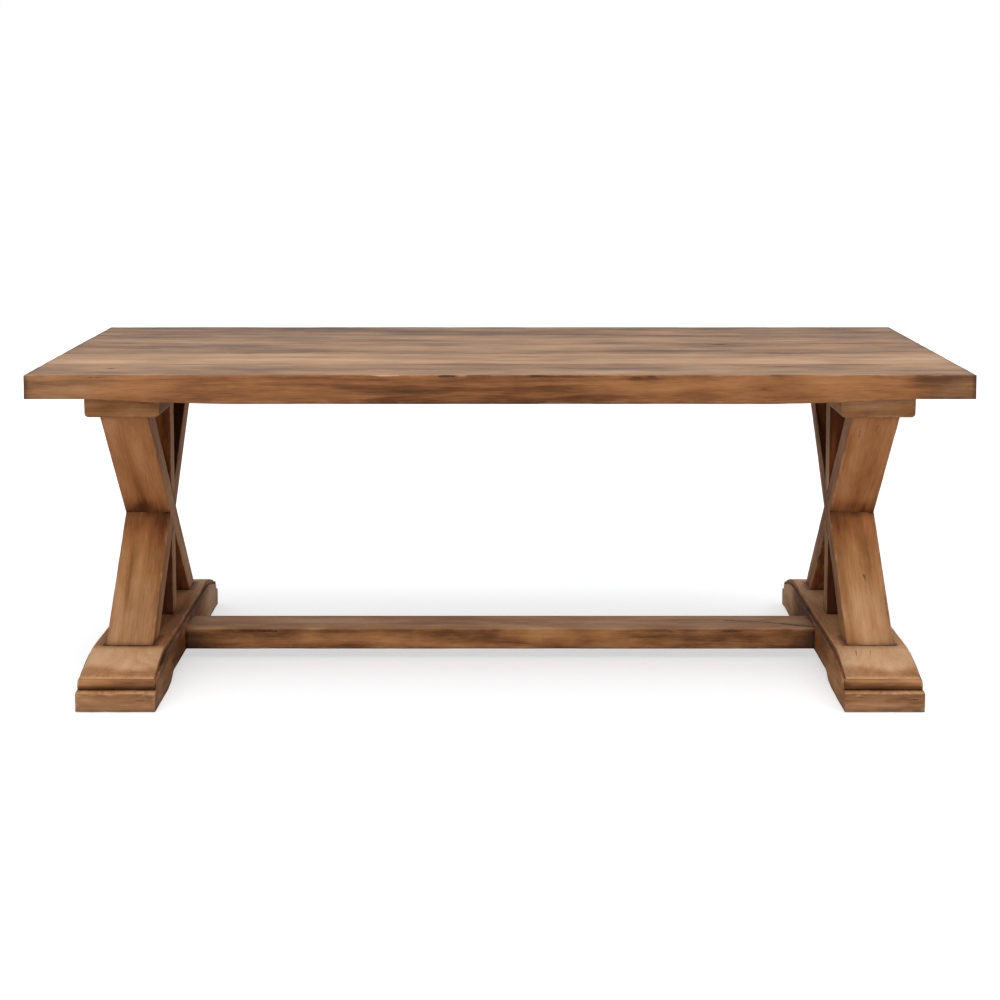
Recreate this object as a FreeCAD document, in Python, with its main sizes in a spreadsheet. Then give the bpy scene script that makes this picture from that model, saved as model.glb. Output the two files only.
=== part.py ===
import FreeCAD, Part

import math
import os

import Sketcher

# Trestle dining table. Millimetres, +Z up, +X along the length of the top, -Y is
# the front. The origin is on the floor under the centre of the top. The two
# trestles are the same assembly, the left one turned half a turn about Z.

doc = FreeCAD.newDocument("trestle_dining_table")

# ---------------------------------------------------------------- dimensions
sheet = doc.addObject("Spreadsheet::Sheet", "dims")

DIMS = [
    # tabletop
    ("top_length", 2100, "length of the top along X"),
    ("top_width", 1000, "width of the top along Y"),
    ("table_height", 762, "floor to the top face"),
    ("top_thick", 54, "thickness of the boards"),
    ("board_width", 200, "width of one of the five boards"),
    ("lip_drop", 11, "how far the edge boards hang deeper between the trestles"),
    ("lip_width", 45, "width of that deeper edge along Y"),
    ("lip_flat", 600, "half length of the full depth"),
    ("lip_start", 918, "half length at which the lip fades out"),
    ("spline_thick", 10, "loose spline between boards, thickness"),
    ("spline_wide", 24, "loose spline, width across the seam"),
    ("spline_end", 25, "groove stops this far from the board end"),
    # middle batten
    ("batten_wide", 70, "batten along X"),
    ("batten_thick", 10, "batten thickness, less than the lip that hides it"),
    ("batten_length", 840, "batten along Y"),
    ("batten_bevel", 6, "bevel of the batten ends"),
    ("wood_screw_dia", 5, "batten screw shank"),
    ("wood_screw_head", 10, "batten screw head"),
    ("wood_screw_long", 35, "batten screw length"),
    ("wood_screw_seat", 3, "height of the batten screw head"),
    # trestle
    ("trestle_x", 861, "trestle centre from the table centre"),
    ("cap_wide", 171, "cap across X"),
    ("cap_long", 720, "cap along Y"),
    ("cap_bottom", 646, "underside of the cap above the floor"),
    ("cap_round", 10, "rounding of the cap's lower long edges"),
    ("leg_wide", 110, "legs and posts across X"),
    ("leg_thick", 84, "leg measured level along Y"),
    ("leg_slope", 1.055, "run along Y for each mm of height"),
    ("cross_height", 364, "height at which the legs cross"),
    ("post_thick", 54, "centre post along Y"),
    ("tenon_long", 30, "length of the leg tenon in the cap and in the beam"),
    ("tenon_thick", 44, "leg tenon along Y"),
    ("tenon_wide", 70, "leg tenon across X"),
    ("post_tenon_thick", 26, "post tenon along Y"),
    ("post_tenon_wide", 60, "post tenon across X"),
    # base
    ("base_wide", 180, "base beam across X"),
    ("base_long", 1000, "base beam along Y"),
    ("floor_gap", 1.5, "wood above the floor, on glides"),
    ("block_height", 46, "top of the foot blocks at the beam ends"),
    ("block_bevel", 3, "bevel of the block's top arris"),
    ("nose_back", 28, "beam end set back behind the block face"),
    ("beam_under", 24, "raised underside of the beam"),
    ("beam_top", 92, "flat top of the beam"),
    ("plate_top", 105, "flat top of the base board"),
    ("plate_wide", 167, "base board across X"),
    ("plate_flat", 335, "half length of the flat part of the base board"),
    ("plate_radius", 700, "radius of the base board's falling ends"),
    ("nose_drop", 32, "fall of the base board from its flat to its nose"),
    ("foot_inner", 318, "inner end of the flat foot from the centre"),
    ("foot_rise", 4, "height where the scoop begins"),
    ("scoop_start", 290, "outer end of the scoop"),
    ("scoop_half", 30, "half the length of the scoop along Y"),
    ("scoop_radius", 50, "radius of each half of the scoop"),
    ("bead_radius", 12, "half round bead over the foot block"),
    ("bead_wide", 175, "bead across X"),
    # floor glides
    ("glide_dia", 28, "glide diameter"),
    ("glide_thick", 4, "glide thickness"),
    ("glide_x", 55, "glide from the trestle centre along X"),
    ("glide_outer", 468, "outer glides along Y"),
    ("glide_inner", 350, "inner glides along Y"),
    # stretcher
    ("stretcher_wide", 130, "stretcher along Y"),
    ("stretcher_bottom", 28, "underside of the stretcher"),
    ("stretcher_top", 80, "top of the stretcher"),
    ("stub_long", 30, "stub tenon of the stretcher in the beam"),
    ("stub_wide", 84, "stub tenon along Y"),
    ("stub_tall", 32, "stub tenon height"),
    # stretcher bolts
    ("bolt_dia", 10, "bolt shank"),
    ("bolt_bore", 11, "clearance bore of the bolt"),
    ("bolt_long", 132, "bolt under its head"),
    ("bolt_head_r", 9.8, "hexagon head, centre to corner"),
    ("bolt_head_tall", 6.4, "height of the bolt head"),
    ("bolt_y", 30, "bolts from the centre along Y"),
    ("bolt_well_dia", 30, "well for the bolt head in the beam's outer side"),
    ("bolt_well_deep", 98, "depth of that well"),
    ("washer_dia", 24, "washer outside"),
    ("washer_thick", 2, "washer thickness"),
    ("barrel_dia", 14, "barrel nut diameter"),
    ("barrel_long", 28, "barrel nut length"),
    ("barrel_in", 40, "barrel nut from the stretcher's shoulder"),
    # cap screws
    ("cap_screw_dia", 8, "screw shank"),
    ("cap_screw_long", 72, "screw under its head"),
    ("cap_screw_head_r", 7.4, "hexagon head, centre to corner"),
    ("cap_screw_head_tall", 5.5, "height of the head"),
    ("cap_screw_well_dia", 17, "well for the head"),
    ("cap_screw_well_deep", 25, "depth of that well"),
    ("screw_x_mid", 45, "middle screws along X"),
    ("screw_y_mid", 150, "middle screws along Y"),
    ("screw_x_end", 67, "end screws along X"),
    ("screw_y_end", 330, "end screws along Y"),
    # dowels
    ("dowel_dia", 16, "post dowels"),
    ("dowel_x", 28, "crossing dowels towards the middle of the table"),
    ("dowel_in_leg", 20, "depth of the crossing dowels in the leg"),
    ("dowel_in_post", 28, "depth of the dowels in the posts"),
    ("lap_dowel_dia", 10, "dowels through the half lap"),
    ("lap_dowel_long", 80, "their length along X"),
    ("lap_dowel_z", 12, "above and below the crossing"),
]


class Q:
    """A size: its number and the expression over the sheet's cells that gives it."""

    def __init__(self, text, value):
        self.text, self.value = text, float(value)

    @staticmethod
    def of(a):
        return a if isinstance(a, Q) else Q(repr(float(a)), a)

    def __add__(self, b):
        b = Q.of(b)
        return Q(f"({self.text} + {b.text})", self.value + b.value)

    __radd__ = __add__

    def __sub__(self, b):
        b = Q.of(b)
        return Q(f"({self.text} - {b.text})", self.value - b.value)

    def __rsub__(self, b):
        return Q.of(b) - self

    def __mul__(self, b):
        b = Q.of(b)
        return Q(f"({self.text} * {b.text})", self.value * b.value)

    __rmul__ = __mul__

    def __truediv__(self, b):
        b = Q.of(b)
        return Q(f"({self.text} / {b.text})", self.value / b.value)

    def __neg__(self):
        return Q(f"(0 - {self.text})", -self.value)


class Sizes:
    pass


d = Sizes()
for row, (alias, number, note) in enumerate(DIMS, 1):
    sheet.set(f"A{row}", alias)
    sheet.set(f"B{row}", str(number))
    sheet.set(f"C{row}", note)
    sheet.setAlias(f"B{row}", alias)
    setattr(d, alias, Q(f"dims.{alias}", number))
doc.recompute()

NODES = []  # the finished sub-parts, in order


def bind(obj, prop, size):
    obj.setExpression(prop, Q.of(size).text)


def place(obj, x=0, y=0, z=0):
    x, y, z = Q.of(x), Q.of(y), Q.of(z)
    obj.Placement = FreeCAD.Placement(
        FreeCAD.Vector(x.value, y.value, z.value), obj.Placement.Rotation
    )
    for axis, size in (("x", x), ("y", y), ("z", z)):
        obj.setExpression(f".Placement.Base.{axis}", size.text)


def box(name, x0, x1, y0, y1, z0, z1):
    b = doc.addObject("Part::Box", name)
    for prop, lo, hi in (("Length", x0, x1), ("Width", y0, y1), ("Height", z0, z1)):
        size = Q.of(hi) - Q.of(lo)
        setattr(b, prop, size.value)
        bind(b, prop, size)
    place(b, x0, y0, z0)
    return b


def cylinder(name, dia, long, x, y, z, along="z"):
    """A cylinder from (x, y, z) in the + direction of its axis."""
    c = doc.addObject("Part::Cylinder", name)
    dia, long = Q.of(dia), Q.of(long)
    c.Radius, c.Height = dia.value / 2, long.value
    bind(c, "Radius", dia / 2)
    bind(c, "Height", long)
    if along == "x":
        c.Placement = FreeCAD.Placement(
            FreeCAD.Vector(), FreeCAD.Rotation(FreeCAD.Vector(0, 1, 0), 90)
        )
    place(c, x, y, z)
    return c


def hexagon(name, radius, long, x, y, z, along="z"):
    p = doc.addObject("Part::Prism", name)
    p.Polygon = 6
    radius, long = Q.of(radius), Q.of(long)
    p.Circumradius, p.Height = radius.value, long.value
    bind(p, "Circumradius", radius)
    bind(p, "Height", long)
    if along == "x":
        p.Placement = FreeCAD.Placement(
            FreeCAD.Vector(), FreeCAD.Rotation(FreeCAD.Vector(0, 1, 0), 90)
        )
    place(p, x, y, z)
    return p


def fuse(name, shapes):
    if len(shapes) == 1:
        return shapes[0]
    f = doc.addObject("Part::MultiFuse", name)
    f.Shapes = shapes
    f.Refine = False
    return f


def cut(name, base, tools):
    """base less the tools, with the volume compared."""
    tool = fuse(name + "_tools", tools)
    c = doc.addObject("Part::Cut", name)
    c.Base, c.Tool = base, tool
    c.Refine = True
    doc.recompute()
    if not c.Shape.Volume < base.Shape.Volume - 1:
        raise RuntimeError(f"{name}: a cut removed nothing")
    return c


def group(name, shapes):
    g = doc.addObject("Part::Compound", name)
    g.Links = shapes
    return g


def node(obj, label, x=None, half_turn=False):
    """Names a finished sub-part and puts it at its trestle."""
    obj.Label = label
    if x is not None:
        turn = 180 if half_turn else 0
        obj.Placement = FreeCAD.Placement(
            FreeCAD.Vector(), FreeCAD.Rotation(FreeCAD.Vector(0, 0, 1), turn)
        )
        place(obj, x)
    NODES.append(obj)
    return obj


# ------------------------------------------------------------------ sketches
def new_body(name):
    return doc.addObject("PartDesign::Body", name)


def plane(body, role):
    for f in body.Origin.OriginFeatures:
        if f.Role == role:
            return f
    raise RuntimeError(role)


def outline(body, name, role, offset, points):
    """A closed outline on an origin plane, moved along the plane's normal.

    points are (u, v) or (u, v, radius, side): with a radius, the edge from this
    point to the next is an arc, with its centre on the left (side 1) or on the
    right (side -1) of the line from one to the other.
    """
    sk = body.newObject("Sketcher::SketchObject", name)
    sk.AttachmentSupport = [(plane(body, role), "")]
    sk.MapMode = "FlatFace"
    offset = Q.of(offset)
    sk.AttachmentOffset = FreeCAD.Placement(
        FreeCAD.Vector(0, 0, offset.value), FreeCAD.Rotation()
    )
    bind(sk, ".AttachmentOffset.Base.z", offset)
    pts = [(Q.of(p[0]), Q.of(p[1])) for p in points]
    arcs = [p[2:] if len(p) > 2 else None for p in points]
    count = len(pts)
    starts, ends = [], []
    for i in range(count):
        a, b = pts[i], pts[(i + 1) % count]
        va = FreeCAD.Vector(a[0].value, a[1].value, 0)
        vb = FreeCAD.Vector(b[0].value, b[1].value, 0)
        if arcs[i] is None:
            sk.addGeometry(Part.LineSegment(va, vb), False)
            starts.append(1)
            ends.append(2)
            continue
        radius, side = Q.of(arcs[i][0]), arcs[i][1]
        chord = vb - va
        half = chord.Length / 2
        reach = math.sqrt(max(radius.value**2 - half**2, 0.0))
        left = FreeCAD.Vector(-chord.y, chord.x, 0).normalize()
        centre = (va + vb) * 0.5 + left * (reach * side)
        t0 = math.atan2(va.y - centre.y, va.x - centre.x)
        t1 = math.atan2(vb.y - centre.y, vb.x - centre.x)
        circle = Part.Circle(centre, FreeCAD.Vector(0, 0, 1), radius.value)
        # With the centre on the left the short arc runs counterclockwise.
        if side > 0:
            sk.addGeometry(Part.ArcOfCircle(circle, t0, t1), False)
            starts.append(1)
            ends.append(2)
        else:
            sk.addGeometry(Part.ArcOfCircle(circle, t1, t0), False)
            starts.append(2)
            ends.append(1)
    for i in range(count):
        j = (i + 1) % count
        sk.addConstraint(Sketcher.Constraint("Coincident", i, ends[i], j, starts[j]))
    for i in range(count):
        for kind, size, axis in (
            ("DistanceX", pts[i][0], -2),
            ("DistanceY", pts[i][1], -1),
        ):
            if abs(size.value) < 1e-9:
                sk.addConstraint(
                    Sketcher.Constraint("PointOnObject", i, starts[i], axis)
                )
            elif size.value > 0:
                n = sk.addConstraint(
                    Sketcher.Constraint(kind, -1, 1, i, starts[i], size.value)
                )
                sk.setExpression(f"Constraints[{n}]", size.text)
            else:
                n = sk.addConstraint(
                    Sketcher.Constraint(kind, i, starts[i], -1, 1, -size.value)
                )
                sk.setExpression(f"Constraints[{n}]", (-size).text)
        if arcs[i] is not None:
            radius = Q.of(arcs[i][0])
            n = sk.addConstraint(Sketcher.Constraint("Radius", i, radius.value))
            sk.setExpression(f"Constraints[{n}]", radius.text)
    return sk


def pad(body, name, role, offset, length, points):
    sk = outline(body, name + "_outline", role, offset, points)
    p = body.newObject("PartDesign::Pad", name)
    p.Profile = sk
    length = Q.of(length)
    p.Length = length.value
    bind(p, "Length", length)
    p.Refine = True
    body.Tip = p
    doc.recompute()
    return p


def pocket(body, name, role, offset, length, points):
    """Cuts from the sketch plane against the plane's normal."""
    before = body.Shape.Volume
    sk = outline(body, name + "_outline", role, offset, points)
    p = body.newObject("PartDesign::Pocket", name)
    p.Profile = sk
    length = Q.of(length)
    p.Length = length.value
    bind(p, "Length", length)
    p.Refine = True
    body.Tip = p
    doc.recompute()
    if not body.Shape.Volume < before - 1:
        p.Reversed = True
        doc.recompute()
    if not body.Shape.Volume < before - 1:
        raise RuntimeError(f"{name}: a pocket removed nothing")
    return p


def rectangle(u0, u1, v0, v1):
    return [(u0, v0), (u1, v0), (u1, v1), (u0, v1)]


# ------------------------------------------------------------- shared sizes
half_long = d.top_length / 2
half_wide = d.top_width / 2
top_z = d.table_height
under_z = d.table_height - d.top_thick
spline_z0 = d.table_height - d.top_thick / 2 - d.spline_thick / 2
spline_z1 = spline_z0 + d.spline_thick
groove = d.spline_wide / 2
spline_x = half_long - d.spline_end

half_leg = d.leg_wide / 2
half_thick = d.leg_thick / 2
cross = d.cross_height
upper_run = (d.cap_bottom - cross) * d.leg_slope
lower_run = (cross - d.plate_top) * d.leg_slope

half_base = d.base_long / 2
nose = half_base - d.nose_back
nose_top = d.plate_top - d.nose_drop
nose_under = d.beam_top - d.nose_drop
mortise_z = d.beam_top - d.tenon_long
shoulder = d.trestle_x - d.base_wide / 2
stretcher_z = (d.stretcher_top + d.stretcher_bottom) / 2

SCREWS = [
    (sx * a, sy * b)
    for a, b in ((d.screw_x_mid, d.screw_y_mid), (d.screw_x_end, d.screw_y_end))
    for sx in (1, -1)
    for sy in (1, -1)
]


# ------------------------------------------------------------------ tabletop
def top_board(label, number):
    """One of the five boards, counted from the front, with its spline grooves."""
    y0 = -half_wide + d.board_width * number
    y1 = y0 + d.board_width
    body = new_body(label + "_board")
    pad(
        body,
        "board",
        "XY_Plane",
        under_z,
        d.top_thick,
        rectangle(-half_long, half_long, y0, y1),
    )
    if number in (0, 4):
        # The outer edge hangs a little deeper between the trestles.
        knee = (d.lip_flat + d.lip_start) / 2
        drop = under_z - d.lip_drop
        knee_z = under_z - d.lip_drop * 0.7
        offset = -y0 if number == 0 else -y1 + d.lip_width
        pad(
            body,
            "lip",
            "XZ_Plane",
            offset - d.lip_width,
            d.lip_width,
            [
                (-d.lip_start, under_z),
                (-knee, knee_z),
                (-d.lip_flat, drop),
                (d.lip_flat, drop),
                (knee, knee_z),
                (d.lip_start, under_z),
            ],
        )
    tools = []
    if number > 0:
        tools.append(
            box("groove", -spline_x, spline_x, y0, y0 + groove, spline_z0, spline_z1)
        )
    if number < 4:
        tools.append(
            box("groove", -spline_x, spline_x, y1 - groove, y1, spline_z0, spline_z1)
        )
    # pilot holes of the cap screws and of the batten screw that reach this board
    screw_top = d.cap_bottom + d.cap_screw_well_deep + d.cap_screw_long
    for trestle in (1, -1):
        for sx, sy in SCREWS:
            if y0.value < sy.value < y1.value:
                tools.append(
                    cylinder(
                        "pilot",
                        d.cap_screw_dia,
                        screw_top - under_z,
                        trestle * d.trestle_x + sx,
                        sy,
                        under_z,
                    )
                )
    tools.append(
        cylinder(
            "pilot",
            d.wood_screw_dia,
            d.wood_screw_long - d.batten_thick,
            0,
            (y0 + y1) / 2,
            under_z,
        )
    )
    return node(cut(label + "_cut", body, tools), label)


# The front board's lip is padded towards the front, so that its face is flush.
top_board("top_board_front", 0)
top_board("top_board_front_inner", 1)
top_board("top_board_middle", 2)
top_board("top_board_rear_inner", 3)
top_board("top_board_rear", 4)

node(
    group(
        "splines",
        [
            box(
                "spline",
                -spline_x,
                spline_x,
                -half_wide + d.board_width * n - groove,
                -half_wide + d.board_width * n + groove,
                spline_z0,
                spline_z1,
            )
            for n in (1, 2, 3, 4)
        ],
    ),
    "top_splines",
)

# middle batten under the boards
batten = new_body("batten")
half_batten = d.batten_length / 2
batten_z = under_z - d.batten_thick
pad(
    batten,
    "strip",
    "YZ_Plane",
    -d.batten_wide / 2,
    d.batten_wide,
    [
        (-half_batten + d.batten_bevel, batten_z),
        (half_batten - d.batten_bevel, batten_z),
        (half_batten, batten_z + d.batten_bevel),
        (half_batten, under_z),
        (-half_batten, under_z),
        (-half_batten, batten_z + d.batten_bevel),
    ],
)

def batten_screw(y):
    head = cylinder(
        "head", d.wood_screw_head, d.wood_screw_seat, 0, y, batten_z
    )
    shank = cylinder("shank", d.wood_screw_dia, d.wood_screw_long, 0, y, batten_z)
    return fuse("batten_screw", [head, shank])


board_centres = [-half_wide + d.board_width * (n + 0.5) for n in range(5)]
node(
    cut(
        "batten_cut",
        batten,
        [
            t
            for y in board_centres
            for t in (
                cylinder(
                    "seat", d.wood_screw_head, d.wood_screw_seat, 0, y, batten_z
                ),
                cylinder(
                    "bore", d.wood_screw_dia, d.batten_thick, 0, y, batten_z
                ),
            )
        ],
    ),
    "centre_batten",
)
node(group("batten_screw_set", [batten_screw(y) for y in board_centres]), "batten_screws")


# ------------------------------------------------------------------ trestles
def bar(side, x0, x1):
    """Outline of a leg: side 1 has its foot at -Y and its top at +Y."""
    low, high = -side * lower_run, side * upper_run
    return [
        (low - half_thick, d.plate_top),
        (low + half_thick, d.plate_top),
        (high + half_thick, d.cap_bottom),
        (high - half_thick, d.cap_bottom),
    ]


def leg(name, side):
    body = new_body(name + "_body")
    pad(body, "bar", "YZ_Plane", -half_leg, d.leg_wide, bar(side, 0, 0))
    low, high = -side * lower_run, side * upper_run
    half = d.tenon_thick / 2
    pad(
        body,
        "top_tenon",
        "YZ_Plane",
        -d.tenon_wide / 2,
        d.tenon_wide,
        rectangle(high - half, high + half, d.cap_bottom, d.cap_bottom + d.tenon_long),
    )
    pad(
        body,
        "foot_tenon",
        "YZ_Plane",
        -d.tenon_wide / 2,
        d.tenon_wide,
        rectangle(low - half, low + half, mortise_z, d.plate_top),
    )
    # Half lap: the leg with its foot at -Y keeps the half towards -X.
    pocket(
        body,
        "half_lap",
        "YZ_Plane",
        half_leg if side == 1 else Q.of(0),
        half_leg,
        bar(-side, 0, 0),
    )
    tools = [
        cylinder(
            "lap_bore",
            d.lap_dowel_dia,
            d.lap_dowel_long,
            -d.lap_dowel_long / 2,
            0,
            cross + k * d.lap_dowel_z,
            "x",
        )
        for k in (1, -1)
    ]
    # blind bores of the two dowels that hold the posts at the crossing
    v_top = cross + half_thick / d.leg_slope
    v_bottom = cross - half_thick / d.leg_slope
    for start in (v_top - d.dowel_in_leg, v_bottom - 30):
        tools.append(
            cylinder(
                "post_bore", d.dowel_dia, d.dowel_in_leg + 30, -d.dowel_x, 0, start
            )
        )
    return cut(name, body, tools)


def build_trestle(prefix, x, half_turn):
    v_top = cross + half_thick / d.leg_slope
    v_bottom = cross - half_thick / d.leg_slope
    half_post = d.post_thick / 2
    rise = half_post / d.leg_slope

    # cap under the top
    cap = new_body(prefix + "_cap_body")
    half_cap = d.cap_wide / 2
    quarter = d.cap_round
    pad(
        cap,
        "cap",
        "XZ_Plane",
        -d.cap_long / 2,
        d.cap_long,
        [
            (-half_cap + quarter, d.cap_bottom),
            (half_cap - quarter, d.cap_bottom, quarter, 1),
            (half_cap, d.cap_bottom + quarter),
            (half_cap, under_z),
            (-half_cap, under_z),
            (-half_cap, d.cap_bottom + quarter, quarter, 1),
        ],
    )
    tools = []
    for k in (1, -1):
        tools.append(
            box(
                "leg_mortise",
                -d.tenon_wide / 2,
                d.tenon_wide / 2,
                k * upper_run - d.tenon_thick / 2,
                k * upper_run + d.tenon_thick / 2,
                d.cap_bottom,
                d.cap_bottom + d.tenon_long,
            )
        )
    tools.append(
        box(
            "post_mortise",
            -d.post_tenon_wide / 2,
            d.post_tenon_wide / 2,
            -d.post_tenon_thick / 2,
            d.post_tenon_thick / 2,
            d.cap_bottom,
            d.cap_bottom + d.tenon_long,
        )
    )
    for sx, sy in SCREWS:
        tools.append(
            cylinder(
                "well", d.cap_screw_well_dia, d.cap_screw_well_deep, sx, sy, d.cap_bottom
            )
        )
        tools.append(
            cylinder(
                "bore",
                d.cap_screw_dia,
                under_z - d.cap_bottom,
                sx,
                sy,
                d.cap_bottom,
            )
        )
    node(cut(prefix + "_cap", cap, tools), prefix + "_top_cap", x, half_turn)

    seat = d.cap_bottom + d.cap_screw_well_deep
    screws = []
    for sx, sy in SCREWS:
        screws.append(
            fuse(
                "cap_screw",
                [
                    hexagon(
                        "head",
                        d.cap_screw_head_r,
                        d.cap_screw_head_tall,
                        sx,
                        sy,
                        seat - d.cap_screw_head_tall,
                    ),
                    cylinder("shank", d.cap_screw_dia, d.cap_screw_long, sx, sy, seat),
                ],
            )
        )
    node(
        group(prefix + "_cap_screw_set", screws), prefix + "_cap_screws", x, half_turn
    )

    # the two legs, named after the end of the table's depth where each one's foot is
    front, rear = ("rear", "front") if half_turn else ("front", "rear")
    node(leg(prefix + "_leg_a", 1), f"{prefix}_leg_{front}_foot", x, half_turn)
    node(leg(prefix + "_leg_b", -1), f"{prefix}_leg_{rear}_foot", x, half_turn)

    # centre post, in two lengths that fit the crossing with a pointed end
    upper = new_body(prefix + "_post_upper_body")
    pad(
        upper,
        "post",
        "YZ_Plane",
        -half_leg,
        d.leg_wide,
        [
            (Q.of(0), v_top),
            (half_post, v_top + rise),
            (half_post, d.cap_bottom),
            (-half_post, d.cap_bottom),
            (-half_post, v_top + rise),
        ],
    )
    pad(
        upper,
        "tenon",
        "YZ_Plane",
        -d.post_tenon_wide / 2,
        d.post_tenon_wide,
        rectangle(
            -d.post_tenon_thick / 2,
            d.post_tenon_thick / 2,
            d.cap_bottom,
            d.cap_bottom + d.tenon_long,
        ),
    )
    node(
        cut(
            prefix + "_post_upper",
            upper,
            [
                cylinder(
                    "bore",
                    d.dowel_dia,
                    d.dowel_in_leg + d.dowel_in_post,
                    -d.dowel_x,
                    0,
                    v_top - d.dowel_in_leg,
                )
            ],
        ),
        prefix + "_post_upper",
        x,
        half_turn,
    )
    lower = new_body(prefix + "_post_lower_body")
    pad(
        lower,
        "post",
        "YZ_Plane",
        -half_leg,
        d.leg_wide,
        [
            (-half_post, d.plate_top),
            (half_post, d.plate_top),
            (half_post, v_bottom - rise),
            (Q.of(0), v_bottom),
            (-half_post, v_bottom - rise),
        ],
    )
    node(
        cut(
            prefix + "_post_lower",
            lower,
            [
                cylinder(
                    "bore",
                    d.dowel_dia,
                    d.dowel_in_leg + d.dowel_in_post,
                    -d.dowel_x,
                    0,
                    v_bottom - d.dowel_in_post,
                ),
                cylinder("bore", d.dowel_dia, d.dowel_in_post, 0, 0, d.plate_top),
            ],
        ),
        prefix + "_post_lower",
        x,
        half_turn,
    )
    node(
        group(
            prefix + "_post_dowel_set",
            [
                cylinder(
                    "dowel",
                    d.dowel_dia,
                    d.dowel_in_leg + d.dowel_in_post,
                    -d.dowel_x,
                    0,
                    v_top - d.dowel_in_leg,
                ),
                cylinder(
                    "dowel",
                    d.dowel_dia,
                    d.dowel_in_leg + d.dowel_in_post,
                    -d.dowel_x,
                    0,
                    v_bottom - d.dowel_in_post,
                ),
                cylinder(
                    "dowel",
                    d.dowel_dia,
                    d.dowel_in_leg + d.dowel_in_post,
                    0,
                    0,
                    d.plate_top - d.dowel_in_leg,
                ),
            ],
        ),
        prefix + "_post_dowels",
        x,
        half_turn,
    )
    node(
        group(
            prefix + "_lap_dowel_set",
            [
                cylinder(
                    "dowel",
                    d.lap_dowel_dia,
                    d.lap_dowel_long,
                    -d.lap_dowel_long / 2,
                    0,
                    cross + k * d.lap_dowel_z,
                    "x",
                )
                for k in (1, -1)
            ],
        ),
        prefix + "_lap_dowels",
        x,
        half_turn,
    )

    # base board: flat in the middle, falling in a long curve at both ends
    plate = new_body(prefix + "_plate_body")
    pad(
        plate,
        "plate",
        "YZ_Plane",
        -d.plate_wide / 2,
        d.plate_wide,
        [
            (-nose, nose_under, d.plate_radius, -1),
            (-d.plate_flat, d.beam_top),
            (d.plate_flat, d.beam_top, d.plate_radius, -1),
            (nose, nose_under),
            (nose, nose_top, d.plate_radius, 1),
            (d.plate_flat, d.plate_top),
            (-d.plate_flat, d.plate_top, d.plate_radius, 1),
            (-nose, nose_top),
        ],
    )
    tools = [
        box(
            "leg_mortise",
            -d.tenon_wide / 2,
            d.tenon_wide / 2,
            k * lower_run - d.tenon_thick / 2,
            k * lower_run + d.tenon_thick / 2,
            d.beam_top,
            d.plate_top,
        )
        for k in (1, -1)
    ]
    tools.append(
        cylinder("bore", d.dowel_dia, d.dowel_in_leg, 0, 0, d.plate_top - d.dowel_in_leg)
    )
    node(cut(prefix + "_plate", plate, tools), prefix + "_base_board", x, half_turn)

    # base beam with a foot block at each end and a scooped, raised underside
    beam = new_body(prefix + "_beam_body")
    scoop_mid = d.scoop_start - d.scoop_half
    scoop_end = d.scoop_start - 2 * d.scoop_half
    mid_z = (d.foot_rise + d.beam_under) / 2
    bevel = d.block_bevel
    pad(
        beam,
        "beam",
        "YZ_Plane",
        -d.base_wide / 2,
        d.base_wide,
        [
            (-half_base, d.floor_gap),
            (-d.foot_inner, d.floor_gap),
            (-d.scoop_start, d.foot_rise, d.scoop_radius, 1),
            (-scoop_mid, mid_z, d.scoop_radius, -1),
            (-scoop_end, d.beam_under),
            (scoop_end, d.beam_under, d.scoop_radius, -1),
            (scoop_mid, mid_z, d.scoop_radius, 1),
            (d.scoop_start, d.foot_rise),
            (d.foot_inner, d.floor_gap),
            (half_base, d.floor_gap),
            (half_base, d.block_height - bevel),
            (half_base - 2 * bevel, d.block_height),
            (nose, d.block_height),
            (nose, nose_under, d.plate_radius, 1),
            (d.plate_flat, d.beam_top),
            (-d.plate_flat, d.beam_top, d.plate_radius, 1),
            (-nose, nose_under),
            (-nose, d.block_height),
            (-half_base + 2 * bevel, d.block_height),
            (-half_base, d.block_height - bevel),
        ],
    )
    half_b = d.base_wide / 2
    tools = [
        box(
            "leg_mortise",
            -d.tenon_wide / 2,
            d.tenon_wide / 2,
            k * lower_run - d.tenon_thick / 2,
            k * lower_run + d.tenon_thick / 2,
            mortise_z,
            d.beam_top,
        )
        for k in (1, -1)
    ]
    tools.append(
        cylinder("bore", d.dowel_dia, d.dowel_in_leg, 0, 0, d.plate_top - d.dowel_in_leg)
    )
    tools.append(
        box(
            "stub_mortise",
            -half_b,
            -half_b + d.stub_long,
            -d.stub_wide / 2,
            d.stub_wide / 2,
            stretcher_z - d.stub_tall / 2,
            stretcher_z + d.stub_tall / 2,
        )
    )
    for k in (1, -1):
        tools.append(
            cylinder(
                "bolt_bore",
                d.bolt_bore,
                d.base_wide,
                -half_b,
                k * d.bolt_y,
                stretcher_z,
                "x",
            )
        )
        tools.append(
            cylinder(
                "bolt_well",
                d.bolt_well_dia,
                d.bolt_well_deep,
                half_b - d.bolt_well_deep,
                k * d.bolt_y,
                stretcher_z,
                "x",
            )
        )
    glides = []
    for gx in (d.glide_x, -d.glide_x):
        for gy in (d.glide_outer, d.glide_inner, -d.glide_inner, -d.glide_outer):
            tools.append(
                cylinder(
                    "glide_seat",
                    d.glide_dia,
                    d.glide_thick - d.floor_gap,
                    gx,
                    gy,
                    d.floor_gap,
                )
            )
            glides.append(cylinder("glide", d.glide_dia, d.glide_thick, gx, gy, 0))
    node(cut(prefix + "_beam", beam, tools), prefix + "_base_beam", x, half_turn)
    node(group(prefix + "_glide_set", glides), prefix + "_floor_glides", x, half_turn)

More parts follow.
